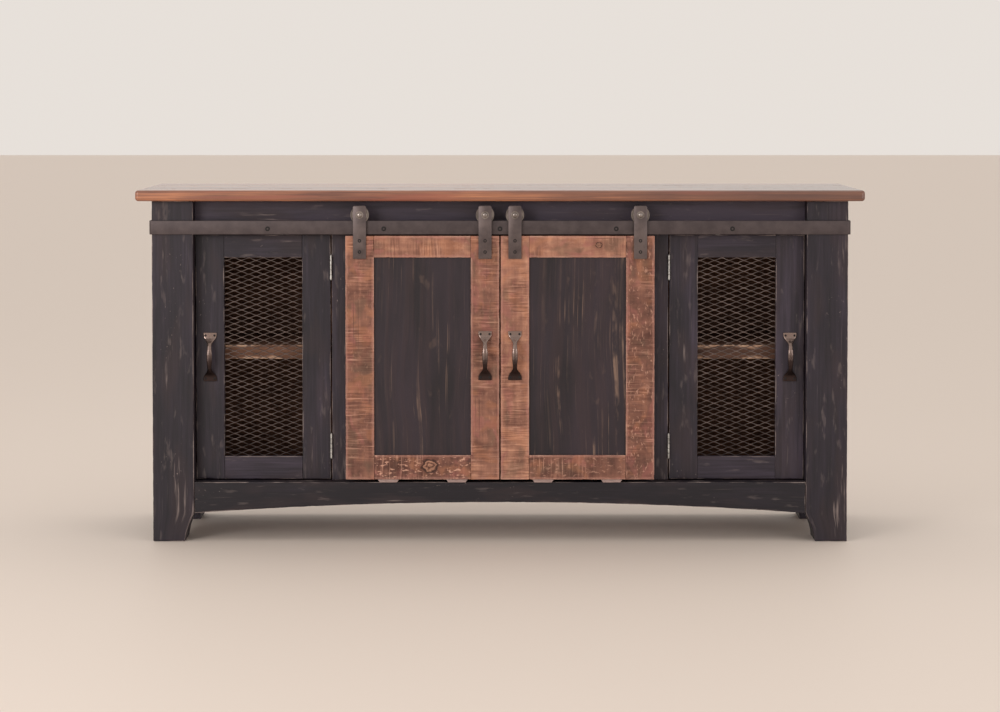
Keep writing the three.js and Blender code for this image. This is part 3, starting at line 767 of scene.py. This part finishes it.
def floor_boards():
    """Three boards between the aprons, the front one painted, and a short one into each side."""
    low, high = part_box("bottom_panel")
    post_low, post_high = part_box("post_front_right")
    inner = post_low.x - CLEARANCE
    rear_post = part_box("post_rear_right")[0].y
    edges = [low.y, low.y + FLOOR_FRONT, low.y + (high.y - low.y) * FLOOR_SPLIT, high.y]
    for i, (front, back) in enumerate(zip(edges, edges[1:])):
        first = Vector((-inner, front, low.z))
        last = Vector((inner, back - JOINT, high.z))
        # The front board takes the black paint at its darkest tone so that the gap under the doors shows
        # dark: painted shade.
        material = INNER if i else PAINT
        board(f"floor_board_{i + 1}", first, last, 0, material, "cabinet", ["bottom_panel"], worn=0.4,
              tone=1.2 if i else 0)
    for word, side in SIDES.items():
        ends = sorted((side * (inner + 2 * JOINT), side * high.x))
        first = Vector((ends[0], post_high.y + CLEARANCE, low.z))
        last = Vector((ends[1], rear_post - CLEARANCE, high.z))
        board(f"floor_wing_{word}", first, last, 1, INNER, "cabinet", ["bottom_panel"], worn=0.3)


floor_boards()

# %% [markdown]
# ## The back and its cable outlets
# The back is one thin sheet, screwed on, with a round outlet for leads in each bay. Its holes are cut by a
# Boolean modifier with short cylinders, and the modifier is applied, so that the mesh itself has the
# openings.


# %% Back sheet
RIM_ANGLE = math.radians(30)
MARGIN = 0.05
HOLE_SPACING = 0.1
CUTTER_DEPTH = 0.05


def applied(piece, modifier):
    """Applies a modifier and gives the piece its evaluated mesh."""
    graph = bpy.context.evaluated_depsgraph_get()
    mesh = bpy.data.meshes.new_from_object(piece.evaluated_get(graph))
    piece.modifiers.remove(modifier)
    old = piece.data
    piece.data = mesh
    bpy.data.meshes.remove(old)
    bm = bmesh.new()
    bm.from_mesh(mesh)
    mark_sharp(bm, RIM_ANGLE)
    bm.to_mesh(mesh)
    bm.free()


def hole_centres(node):
    """The centre and radius of each round hole in a sheet: its CAD points well inside the outline."""
    low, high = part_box(node)
    points = [v.co for v in frame["nodes"][node].data.vertices]
    inner = [p for p in points if all(low[i] + MARGIN < p[i] < high[i] - MARGIN for i in (0, 2))]
    groups = []
    for p in sorted(inner, key=lambda point: point.x):
        if not groups or p.x - groups[-1][-1].x > HOLE_SPACING:
            groups.append([])
        groups[-1].append(p)
    found = []
    for group in groups:
        xs = [p.x for p in group]
        zs = [p.z for p in group]
        found.append(((min(xs) + max(xs)) / 2, (min(zs) + max(zs)) / 2, (max(xs) - min(xs)) / 2))
    return found


def back_sheet():
    low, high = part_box("back_panel")
    sheet = whole("back_sheet", "back_panel", 0, INNER, worn=0.3, arris=0.0008, tone=0.7)
    bm = bmesh.new()
    for x, z, radius in hole_centres("back_panel"):
        turn = Matrix.Translation((x, (low.y + high.y) / 2, z)) @ Matrix.Rotation(math.pi / 2, 4, "X")
        options = {"segments": 48, "radius1": radius, "radius2": radius, "depth": CUTTER_DEPTH}
        bmesh.ops.create_cone(bm, cap_ends=True, matrix=turn, **options)
    mesh = mesh_of("outlet_cutter", bm)
    cutter = linked("outlet_cutter", mesh)
    holes = sheet.modifiers.new("outlets", "BOOLEAN")
    holes.object = cutter
    holes.operation = "DIFFERENCE"
    bpy.context.view_layer.update()
    applied(sheet, holes)
    bpy.data.objects.remove(cutter)
    bpy.data.meshes.remove(mesh)


back_sheet()
print("cable outlets at", [(round(x, 3), round(z, 3)) for x, z, _ in hole_centres("back_panel")])

# %% [markdown]
# ## The top
# The top is four planks, glued side by side. Its outer edges are rounded over, and the joints between the
# planks only have their arrises broken, so that a fine line shows between them.


# %% Top planks
SEAM_REACH = 0.01


def top_planks(count=4):
    low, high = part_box("top_panel")
    step = (high.y - low.y) / count
    for i in range(count):
        first = Vector((low.x, low.y + i * step + (JOINT if i else 0), low.z))
        last = Vector((high.x, low.y + (i + 1) * step, high.z))
        seams = [y for y in (first.y, last.y) if low.y + MM < y < high.y - MM]

        def outer_edge(middle):
            return all(abs(middle.y - seam) > MM for seam in seams)

        def off_seam(point):
            return SHELTERED if min(abs(point.y - seam) for seam in seams) < SEAM_REACH else 1

        board(f"top_plank_{i + 1}", first, last, 0, TOP, "cabinet", ["top_panel"],
              round_over=outer_edge, bare=off_seam)


top_planks()
print("the top is", span("top_panel", 2), "mm thick")


# %% [markdown]
# ## Doors
# Both kinds of door are a frame of two stiles and two rails. The stiles run through from top to bottom and
# the rails stand between them, as a joiner would dowel them. Sizes come from the door's box and from its
# sheet or panel.


# %% Frames of stiles and rails
JOINT_REACH = 0.012


def door_frame(name, node, opening, material, body, **options):
    """Stiles and rails around an opening, given by its lowest and highest corner."""
    low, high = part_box(node)
    open_low, open_high = opening
    knots = options.pop("knots", {})
    tones = options.pop("tones", {})

    def picked(part):
        return {"knots": knots.get(part, ()), "tone": tones.get(part)}

    def free(point):
        """How bare an arris may be: little where a rail meets the stile."""
        beside_rail = open_low.x - JOINT_REACH < point.x < open_high.x + JOINT_REACH
        return SHELTERED if beside_rail and not open_low.z < point.z < open_high.z else 1

    for place, (x0, x1) in {"left": (low.x, open_low.x), "right": (open_high.x, high.x)}.items():
        first = Vector((x0, low.y, low.z))
        last = Vector((x1, high.y, high.z))
        own = picked(f"stile_{place}")
        board(f"{name}_stile_{place}", first, last, 2, material, body, [node], bare=free, **own, **options)
    for place, (z0, z1) in {"bottom": (low.z, open_low.z), "top": (open_high.z, high.z)}.items():
        first = Vector((open_low.x + JOINT, low.y, z0))
        last = Vector((open_high.x - JOINT, high.y, z1))
        own = picked(f"rail_{place}")
        board(f"{name}_rail_{place}", first, last, 0, material, body, [node], butted=True, **own, **options)


def shrunk(box, by):
    low, high = box
    return low + Vector((by, 0, by)), high - Vector((by, 0, by))


# The pine boards were picked by colour: 0 is a dark board and 1 a pale one.
TONES = {
    "left": {"stile_left": 0.36, "stile_right": 0.40, "rail_top": 0.62, "rail_bottom": 0.12},
    "right": {"stile_left": 0.72, "stile_right": 0.24, "rail_top": 0.80, "rail_bottom": 0.26},
}
# A panel of a higher tone has been rubbed back more.
PANEL_TONES = {"left": 0.75, "right": 1.0}
# Knots in the pine, as places along and across a board from its middle, and radii.
KNOTS = {
    "left": {"rail_bottom": [(0.018, 0.004, 0.015)]},
    "right": {"rail_top": [(0.052, 0.004, 0.006)]},
}
SHEET_MARGIN = 0.006
PANEL_MARGIN = 0.007
for word in SIDES:
    body = f"mesh_door_{word}"
    opening = shrunk(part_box(f"mesh_sheet_{word}"), SHEET_MARGIN)
    door_frame(f"mesh_door_{word}", f"mesh_door_frame_{word}", opening, PAINT, body, worn=1.0, arris=0.0009)
    body = f"barn_door_{word}"
    opening = shrunk(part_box(f"barn_door_panel_{word}"), PANEL_MARGIN)
    door_frame(f"barn_door_{word}", f"barn_door_frame_{word}", opening, PINE, body, saw=0.0003, worn=1.0,
               arris=0.0009, knots=KNOTS[word], tones=TONES[word])
    panel_look = {"worn": 0.3, "tone": PANEL_TONES[word]}
    whole(f"barn_door_{word}_panel", f"barn_door_panel_{word}", 2, PANEL, body, **panel_look)
print("a barn door shows", round((opening[1].x - opening[0].x) / MM), "mm of its panel across")

# %% [markdown]
# ## Expanded metal
# Expanded metal is a sheet that was slit and pulled open. Every strand is a zigzag that joins the one above
# at its peaks and the one below at its feet. One strand is drawn here, turned a little out of the sheet's
# plane, and copied up the door, each copy half a diamond further along.

# %% One strand, copied
DIAMOND_WIDTH = 0.0362
DIAMOND_HEIGHT = 0.0136
STRAND_WIDTH = 0.0016
STRAND_DEPTH = 0.0013
BOND = 0.0048
STRAND_TURN = math.radians(28)


def strand_path(low_x, high_x, phase):
    """Points of a zigzag with flat peaks and feet, from beyond one side of the sheet to beyond the other."""
    amplitude = (DIAMOND_HEIGHT / 2 - STRAND_WIDTH * 0.8) / 2
    half = DIAMOND_WIDTH / 2
    first = math.floor(low_x / half) - 1
    last = math.ceil(high_x / half) + 1
    points = []
    for i in range(first, last):
        up = amplitude if (i + phase) % 2 else -amplitude
        points += [(i * half - BOND / 2, up), (i * half + BOND / 2, up)]
    return points


def expanded_sheet(word):
    low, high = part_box(f"mesh_sheet_{word}")
    middle = (low + high) / 2
    bm = bmesh.new()
    step = DIAMOND_HEIGHT / 2
    rows = int((high.z - low.z) / step) + 2
    turn = Matrix.Rotation(STRAND_TURN, 3, "X")
    for phase in range(2):
        corners = [(-1, -1), (1, -1), (1, 1), (-1, 1)]
        path = strand_path(low.x - middle.x, high.x - middle.x, phase)
        ring = []
        for y, z in corners:
            spot = turn @ Vector((0, y * STRAND_DEPTH / 2, z * STRAND_WIDTH / 2))
            ring.append(bm.verts.new(spot + Vector((path[0][0], 0, path[0][1]))))
        face = bm.faces.new(ring)
        for (x0, z0), (x1, z1) in zip(path, path[1:]):
            grown = bmesh.ops.extrude_face_region(bm, geom=[face])["geom"]
            bmesh.ops.translate(bm, vec=(x1 - x0, 0, z1 - z0), verts=verts_of(grown))
            face = face_of(grown)
        strand = [f for f in bm.faces if not f.tag]
        parts = list({v for f in strand for v in f.verts} | {e for f in strand for e in f.edges}) + strand
        bottom = -rows / 2 * step + phase * step
        for row in range(1, (rows + 1) // 2):
            copy = bmesh.ops.duplicate(bm, geom=parts)["geom"]
            bmesh.ops.translate(bm, vec=(0, 0, bottom + row * 2 * step), verts=verts_of(copy))
        bmesh.ops.translate(bm, vec=(0, 0, bottom), verts=verts_of(parts))
        for face in bm.faces:
            face.tag = True
    bmesh.ops.translate(bm, vec=middle, verts=bm.verts)
    for axis, side in ((0, 1), (0, -1), (2, 1), (2, -1)):
        normal = Vector([float(i == axis) * side for i in range(3)])
        edge = high if side > 0 else low
        geometry = bm.verts[:] + bm.edges[:] + bm.faces[:]
        plane = {"plane_co": edge, "plane_no": normal, "clear_outer": True}
        cut = bmesh.ops.bisect_plane(bm, geom=geometry, **plane)["geom_cut"]
        bmesh.ops.edgeloop_fill(bm, edges=[g for g in cut if isinstance(g, bmesh.types.BMEdge)])
    bmesh.ops.recalc_face_normals(bm, faces=bm.faces)
    return finished(f"expanded_metal_{word}", bm, MESH, f"mesh_door_{word}", [f"mesh_sheet_{word}"])


for word in SIDES:
    sheet = expanded_sheet(word)
print("one sheet has", len(sheet.data.polygons), "faces")

# %% [markdown]
# ## Turned pieces
# Bolts, wheels, knuckles and pins are turned: a profile of radius and height is spun round a line. A
# profile that starts and ends on the axis closes itself, and the wheel's profile closes on its own first
# point.


# %% Turning
def spun(profile, centre, axis="Y", steps=32):
    """A bmesh turned from (radius, height) points. Heights run along the axis."""
    bm = bmesh.new()
    verts = [bm.verts.new((radius, 0, height)) for radius, height in profile]
    for a, b in zip(verts, verts[1:]):
        bm.edges.new((a, b))
    bmesh.ops.spin(
        bm,
        geom=bm.verts[:] + bm.edges[:],
        axis=(0, 0, 1),
        cent=(0, 0, 0),
        angle=2 * math.pi,
        steps=steps,
        use_merge=True,
    )
    bmesh.ops.remove_doubles(bm, verts=bm.verts, dist=1e-6)
    bmesh.ops.recalc_face_normals(bm, faces=bm.faces)
    turns = {
        "X": Matrix.Rotation(math.pi / 2, 3, "Y"),
        "Y": Matrix.Rotation(-math.pi / 2, 3, "X"),
        "Z": Matrix.Identity(3),
    }
    bmesh.ops.rotate(bm, matrix=turns[axis], verts=bm.verts)
    bmesh.ops.translate(bm, vec=centre, verts=bm.verts)
    return bm


def dome(radius, height, depth):
    """The profile of a round head that stands height before its seat and reaches depth behind it."""
    arc = [
        (radius * math.sin(a), -height * math.cos(a))
        for a in (math.radians(18 * i) for i in range(6))
    ]
    return [*arc, (radius, depth), (0, depth)]


def merged(target, other):
    """Adds one bmesh's shape to another."""
    mesh = mesh_of("passing", other)
    target.from_mesh(mesh)
    bpy.data.meshes.remove(mesh)


# %% Wheels
WHEEL_GROOVE = 0.0087
HUB_RADIUS = 0.0053


def wheel(word, place):
    node = f"hanger_wheel_{word}_{place}"
    low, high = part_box(node)
    centre = (low + high) / 2
    radius = (high.z - low.z) / 2
    half = (high.y - low.y) / 2
    groove = radius - WHEEL_GROOVE
    profile = [
        (HUB_RADIUS, -half),
        (radius * 0.62, -half),
        (radius * 0.66, -half + 0.0012),
        (radius * 0.86, -half + 0.0012),
        (radius * 0.90, -half),
        (radius - 0.0008, -half),
        (radius, -half + 0.0008),
        (radius, -half + 0.0020),
        (groove + 0.001, -0.0034),
        (groove, -0.0026),
        (groove, 0.0026),
        (groove + 0.001, 0.0034),
        (radius, half - 0.0020),
        (radius, half - 0.0008),
        (radius - 0.0008, half),
        (HUB_RADIUS, half),
        (HUB_RADIUS, -half),
    ]
    finished(f"track_wheel_{word}_{place}", spun(profile, centre, steps=56), WHEEL, node, [node], sharp=28)


HANGERS = [(word, place) for word in SIDES for place in ("inner", "outer")]
for word, place in HANGERS:
    wheel(word, place)
print("four grooved wheels run on the track")

# %% [markdown]
# ## Track and hangers
# The track is a flat bar that was bent round both posts. Its plan is drawn as a path of a few points with
# an arc at each corner, filled and raised, and its long arrises are bevelled. A hanger strap is a plate
# with clipped corners.


# %% Bar and plates
def plate(points, thickness, axis, arris, segments=2):
    """A flat outline in the plane across an axis, given a thickness along it and bevelled arrises."""
    others = [i for i in range(3) if i != axis]
    bm = bmesh.new()
    verts = []
    for a, b in points:
        spot = Vector((0, 0, 0))
        spot[others[0]] = a
        spot[others[1]] = b
        spot[axis] = thickness[0]
        verts.append(bm.verts.new(spot))
    face = bm.faces.new(verts)
    grown = bmesh.ops.extrude_face_region(bm, geom=[face])["geom"]
    rise = Vector((0, 0, 0))
    rise[axis] = thickness[1] - thickness[0]
    bmesh.ops.translate(bm, vec=rise, verts=verts_of(grown))
    bmesh.ops.recalc_face_normals(bm, faces=bm.faces)
    bevelled(bm, arrises(bm), arris, segments)
    return bm


def arc(centre, radius, start, end, steps=6):
    """Points on an arc in a plane, angles in degrees."""
    angles = [math.radians(start + (end - start) * i / steps) for i in range(steps + 1)]
    return [(centre[0] + radius * math.cos(a), centre[1] + radius * math.sin(a)) for a in angles]


def track():
    low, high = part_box("door_track")
    thick = (high.x - low.x) / 2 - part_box("post_front_right")[1].x - CLEARANCE
    bend = thick + 0.0012
    inner = bend - thick
    outline = [
        (low.x, high.y),
        *arc((low.x + bend, low.y + bend), bend, 180, 270),
        *arc((high.x - bend, low.y + bend), bend, 270, 360),
        (high.x, high.y),
        (high.x - thick, high.y),
        *arc((high.x - bend, low.y + bend), inner, 360, 270, 3),
        *arc((low.x + bend, low.y + bend), inner, 270, 180, 3),
        (low.x + thick, high.y),
    ]
    bm = plate(outline, (low.z, high.z), 2, 0.0013, 3)
    return finished("bent_track", bm, TRACK, "cabinet", ["door_track"])


track()
BOLT_COUNT = 5
for i in range(1, BOLT_COUNT + 1):
    node = f"track_bolt_{i}"
    low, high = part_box(node)
    centre = (low + high) / 2
    front = low.y - centre.y
    back = high.y - centre.y
    sleeve = (high.z - low.z) / 2
    profile = [
        (0, front + 0.0012),
        (0.0016, front + 0.0012),
        (0.0022, front + 0.0002),
        (0.0052, front),
        (0.0060, front + 0.0004),
        (0.0060, front + 0.0018),
        (0.0040, front + 0.0030),
        (0.0040, front + 0.0062),
        (sleeve, front + 0.0062),
        (sleeve, back),
        (0, back),
    ]
    finished(f"track_screw_{i}", spun(profile, centre), BLACK, "cabinet", [node])
print("the track is", span("door_track", 2), "mm tall")


# %% Hanger straps
STRAP_THICKNESS = 0.004
STRAP_CLIP = 0.003
WASHER = [(0, -0.0010), (0.0088, -0.0010), (0.0096, -0.0004), (0.0096, 0), (0, 0)]
BOLT_RADIUS = 0.005
SCREW_PLACES = (0.13, 0.34)
STRAP_SCREW = [
    (0, 0.0004), (0.0018, 0.0004), (0.0026, -0.0010),
    (0.0040, -0.0004), (0.0044, 0.0003), (0, 0.0006),
]


def strap(word, place):
    node = f"hanger_strap_{word}_{place}"
    body = f"barn_door_{word}"
    low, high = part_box(node)
    wheel_low, wheel_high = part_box(f"hanger_wheel_{word}_{place}")
    axle = (wheel_low + wheel_high) / 2
    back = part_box(f"barn_door_frame_{word}")[0].y - CLEARANCE
    front = back - STRAP_THICKNESS
    clip = STRAP_CLIP
    outline = [
        (low.x, low.z),
        (high.x, low.z),
        (high.x, high.z - clip),
        (high.x - clip, high.z),
        (low.x + clip, high.z),
        (low.x, high.z - clip),
    ]
    bm = plate(outline, (front, back), 1, 0.0008)
    for vert in bm.verts:
        vert.co.y += 0.0002 * noise.noise(vert.co * 90)
    finished(f"strap_{word}_{place}", bm, STRAP, body, [node])

    head = [(r, h - 0.0010) for r, h in dome(0.0066, 0.0034, 0.001)]
    end = high.y - front
    shaft = [(0, 0), (BOLT_RADIUS, 0), (BOLT_RADIUS, end - 0.0008), (BOLT_RADIUS - 0.0008, end), (0, end)]
    spot = Vector((axle.x, front, axle.z))
    bolt = spun(WASHER, spot)
    merged(bolt, spun(head, spot))
    merged(bolt, spun(shaft, spot))
    finished(f"axle_bolt_{word}_{place}", bolt, WHEEL, body)
    for i, share in enumerate(SCREW_PLACES):
        seat = Vector((axle.x, front, low.z + share * (high.z - low.z)))
        finished(f"strap_screw_{word}_{place}_{i + 1}", spun(STRAP_SCREW, seat), BLACK, body)


for word, place in HANGERS:
    strap(word, place)
print("each strap is", span("hanger_strap_left_inner", 2), "mm long")

# %% Bottom glides
# A glide's tongue reaches down into the apron's board, which has no groove here, so the two overlap.
GLIDE_SLOPE = 0.005
TONGUE = (0.0038, 0.0002)
for word, place in HANGERS:
    node = f"bottom_guide_{word}_{place}"
    low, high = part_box(node)
    block_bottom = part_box("front_apron")[1].z + CLEARANCE
    x0 = low.x + GLIDE_SLOPE
    x1 = high.x - GLIDE_SLOPE
    block_outline = [(x0, block_bottom), (x1, block_bottom), (high.x, high.z), (low.x, high.z)]
    tongue_outline = [(x0, low.z), (x1, low.z), (x1, block_bottom), (x0, block_bottom)]
    block = plate(block_outline, (low.y, high.y), 1, 0.0005)
    merged(block, plate(tongue_outline, (high.y - TONGUE[0], high.y - TONGUE[1]), 1, 0.0004))
    finished(f"glide_{word}_{place}", block, NYLON, f"barn_door_{word}", [node])
glide_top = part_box("bottom_guide_left_inner")[1].z
print("a glide stands", round((glide_top - apron_high.z) / MM, 1), "mm above the apron")

# %% [markdown]
# ## Pulls
# A pull is cast in one piece: a thin flared foot, a neck that leaves the door, and a grip that swells in
# the middle. It is swept: a ring of fourteen points starts at the upper foot, and each extrusion moves the
# ring on and reshapes it. The lower half mirrors the upper one. A Subdivision Surface modifier then rounds
# the casting.

# %% A swept pull
PULL_RINGS = [
    # In mm: height above the middle, stand-off from the door, width, thickness. Last, how square the ring is.
    (60.2, 1.9, 33.0, 3.4, 5.0),
    (59.0, 2.0, 34.0, 3.8, 5.0),
    (50.0, 2.2, 32.5, 4.0, 5.0),
    (44.5, 3.6, 27.5, 5.0, 3.6),
    (38.5, 8.5, 18.5, 6.0, 2.8),
    (33.0, 14.0, 12.0, 6.6, 2.4),
    (27.0, 18.6, 10.4, 6.8, 2.3),
    (18.0, 21.8, 12.0, 6.6, 2.3),
    (8.0, 22.9, 13.8, 6.2, 2.3),
]
RING_POINTS = 14
PULL_LENGTH = 0.121
PULL_SCREWS = (11.0, -4.0, 53.0)


def ring_place(angle, ring, heading, origin):
    """A point of a rounded ring, whose plane lies across the pull's heading."""
    height, stand_off, width, thickness, square = ring
    c = math.cos(angle)
    s = math.sin(angle)
    across = math.copysign(abs(c) ** (2 / square), c) * width / 2
    out = math.copysign(abs(s) ** (2 / square), s) * thickness / 2
    normal = Vector((0, -math.cos(heading), math.sin(heading)))
    return origin + (Vector((across, -stand_off, height)) + normal * out) * MM


def pull(name, node, body, face_y):
    low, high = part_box(node)
    origin = Vector(((low.x + high.x) / 2, face_y, (low.z + high.z) / 2))
    rings = PULL_RINGS + [(-h, s, w, t, q) for h, s, w, t, q in reversed(PULL_RINGS)]
    rings = [(h * (high.z - low.z) / PULL_LENGTH, s, w, t, q) for h, s, w, t, q in rings]
    angles = [2 * math.pi * (i + 0.5) / RING_POINTS for i in range(RING_POINTS)]
    bm = bmesh.new()
    bmesh.ops.create_circle(bm, segments=RING_POINTS, radius=1, cap_ends=True)
    face = bm.faces[:][0]
    order = list(face.verts)
    for i, ring in enumerate(rings):
        before = rings[max(i - 1, 0)]
        after = rings[min(i + 1, len(rings) - 1)]
        heading = math.atan2(after[1] - before[1], before[0] - after[0])
        if i:
            grown = bmesh.ops.extrude_face_region(bm, geom=[face])["geom"]
            face = face_of(grown)
            ends = set(face.verts)
            order = [next(e.other_vert(v) for e in v.link_edges if e.other_vert(v) in ends) for v in order]
        for vert, angle in zip(order, angles):
            vert.co = ring_place(angle, ring, heading, origin)
    bmesh.ops.recalc_face_normals(bm, faces=bm.faces)
    piece = finished(name, bm, CAST, body, [node], sharp=180)
    smooth = piece.modifiers.new("cast_rounding", "SUBSURF")
    smooth.levels = 2
    smooth.render_levels = 2
    for lift in (1, -1):
        for side in (-1, 1):
            seat = origin + Vector((side * PULL_SCREWS[0], PULL_SCREWS[1], lift * PULL_SCREWS[2])) * MM
            screw = spun(dome(0.0028, 0.0012, 0.001), seat, steps=20)
            ends = "upper" if lift > 0 else "lower"
            finished(f"{name}_screw_{ends}_{'left' if side < 0 else 'right'}", screw, BLACK, body)


for word in SIDES:
    barn_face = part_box(f"barn_door_frame_{word}")[0].y
    mesh_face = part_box(f"mesh_door_frame_{word}")[0].y
    pull(f"barn_pull_{word}", f"barn_door_handle_{word}", f"barn_door_{word}", barn_face)
    pull(f"mesh_pull_{word}", f"mesh_door_handle_{word}", f"mesh_door_{word}", mesh_face)
print("a pull stands", PULL_RINGS[-1][1] + PULL_RINGS[-1][3] / 2, "mm off its door")

# %% [markdown]
# ## Butt hinges
# Each hinge shows only its knuckles between the door and the stile. The leaves lie in the gap. The frame
# leaf keeps three knuckles and the pin, and the door leaf two. A leaf isn't notched round the other leaf's
# knuckles, so the two overlap there.


# %% Hinges
KNUCKLES = 5
PIN_OVERHANG = 0.0017
LEAF_HALF = 0.0005
LEAF_OFFSET = 0.00075
PIN_CAP = [(0, 0.0), (0.0012, 0.0002), (0.0017, 0.0008), (0.0017, 0.0018), (0, 0.0018)]


def hinge(word, side, place):
    frame_node = f"hinge_frame_leaf_{word}_{place}"
    door_node = f"hinge_door_leaf_{word}_{place}"
    low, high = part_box(frame_node)
    joint = next(j for j in frame["joints"] if j["name"] == f"mesh_door_{word}_swing")
    x, y = joint["pos_m"][0], joint["pos_m"][1]
    radius = y - low.y
    bottom = low.z + PIN_OVERHANG
    step = (high.z - low.z - 2 * PIN_OVERHANG) / KNUCKLES
    for node, material_body, numbers, shift in (
        (frame_node, "cabinet", (0, 2, 4), -1),
        (door_node, f"mesh_door_{word}", (1, 3), 1),
    ):
        leaf_middle = x + side * shift * LEAF_OFFSET
        x0 = leaf_middle - LEAF_HALF
        x1 = leaf_middle + LEAF_HALF
        outline = [(x0, y + 0.001), (x1, y + 0.001), (x1, high.y), (x0, high.y)]
        bm = plate(outline, (bottom + 0.0004, bottom + KNUCKLES * step - 0.0004), 2, 0.0002)
        for i in numbers:
            knuckle = [
                (0, 0.0003), (radius - 0.0004, 0.0003), (radius, 0.0007),
                (radius, step - 0.0007), (radius - 0.0004, step - 0.0003), (0, step - 0.0003),
            ]
            merged(bm, spun(knuckle, Vector((x, y, bottom + i * step)), "Z", 24))
        if numbers[0] == 0:
            merged(bm, spun(PIN_CAP, Vector((x, y, low.z)), "Z", 16))
            top_cap = [(r, 0.0018 - h) for r, h in PIN_CAP]
            merged(bm, spun(top_cap, Vector((x, y, high.z - 0.0018)), "Z", 16))
        name = "frame" if numbers[0] == 0 else "door"
        finished(f"butt_hinge_{name}_{word}_{place}", bm, ZINC, material_body, [node])


for word, side in SIDES.items():
    for place in ("lower", "upper"):
        hinge(word, side, place)
print("four butt hinges of", span("hinge_frame_leaf_left_upper", 2), "mm")

# %% [markdown]
# ## Shelves
# A shelf is a board with a deeper lip glued along its front edge. The lip is rough and its edges are rubbed
# pale. Each shelf lies on four steel pins, which stay in the case when the shelf is lifted.


# %% Shelves and pins
SHELF_THICKNESS = 0.018
LIP_DEPTH = 0.020
PIN_RADIUS = 0.0025
PIN_LENGTH = 0.0105
PIN_REACH = 0.0090
REAR_PIN = 0.018


def shelf(word):
    node = f"shelf_{word}"
    low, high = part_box(node)
    lip_back = low.y + LIP_DEPTH
    board(f"shelf_lip_{word}", low, (high.x, lip_back, high.z), 0, INNER, node, [node], worn=1.8, saw=0.0003)
    board_low = (low.x, lip_back + JOINT, high.z - SHELF_THICKNESS)
    board(f"shelf_board_{word}", board_low, high, 0, INNER, node, [node], worn=0.4)
    pin = [(0, 0), (PIN_RADIUS - 0.0005, 0), (PIN_RADIUS, 0.0005), (PIN_RADIUS, PIN_LENGTH), (0, PIN_LENGTH)]
    pin_height = high.z - SHELF_THICKNESS - PIN_RADIUS - CLEARANCE
    ends = {"left": (low.x, 1), "right": (high.x, -1)}
    depths = {"front": lip_back + PIN_RADIUS + 0.0004, "rear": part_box("post_rear_left")[0].y + REAR_PIN}
    for end, (x, inwards) in ends.items():
        for place, y in depths.items():
            profile = [(r, inwards * (PIN_REACH - h)) for r, h in pin]
            bm = spun(profile, Vector((x, y, pin_height)), "X", 20)
            finished(f"shelf_pin_{word}_{end}_{place}", bm, ZINC, "cabinet")


for word in ("left", "centre", "right"):
    shelf(word)

# %% [markdown]
# ## Studio
# A pale floor and three soft lights: a large one from the front left, which lights the doors and throws a
# soft shadow to the right, a weaker one from the right, and one above for the top.


# %% Floor and lights
def studio_floor():
    bm = bmesh.new()
    bmesh.ops.create_grid(bm, x_segments=1, y_segments=1, size=40)
    floor = linked("studio_floor", mesh_of("studio_floor", bm))
    floor.location.z = -0.0005
    finish = Finish("studio_floor", "none")
    floor.data.materials.append(finish.done(Base_Color=(*shade(230, 218, 208), 1), Roughness=0.6))


def soft_light(name, spot, aim, size, power, colour):
    lamp = bpy.data.lights.new(name, "AREA")
    lamp.shape = "RECTANGLE"
    lamp.size, lamp.size_y = size
    lamp.energy = power
    lamp.color = colour
    holder = linked(name, lamp)
    holder.location = spot
    holder.rotation_euler = (Vector(aim) - Vector(spot)).to_track_quat("-Z", "Y").to_euler()


studio_floor()
soft_light("key_light", (-3.6, -5.2, 1.9), (0, 0, 0.5), (2.4, 2.0), 120, (1.0, 0.97, 0.95))
soft_light("fill_light", (3.8, -4.6, 1.3), (0, 0, 0.5), (2.6, 1.8), 36, (1.0, 0.98, 0.99))
soft_light("top_light", (0.4, 0.6, 3.6), (0, 0, 0.5), (3.2, 1.6), 12, (1.0, 0.97, 0.92))

world = bpy.data.worlds.new("studio_air")
world.use_nodes = True
sky = world.node_tree.nodes["Background"]
sky.inputs["Color"].default_value = (1.0, 0.935, 0.875, 1)
sky.inputs["Strength"].default_value = 0.8
bpy.context.scene.world = world
bpy.context.scene.view_settings.view_transform = "Standard"
print("three lights and a pale floor")

# %% [markdown]
# ## Last update
# The view layer is updated once more. The pieces may not outgrow the frame.

# %% Update the view layer
bpy.context.view_layer.update()
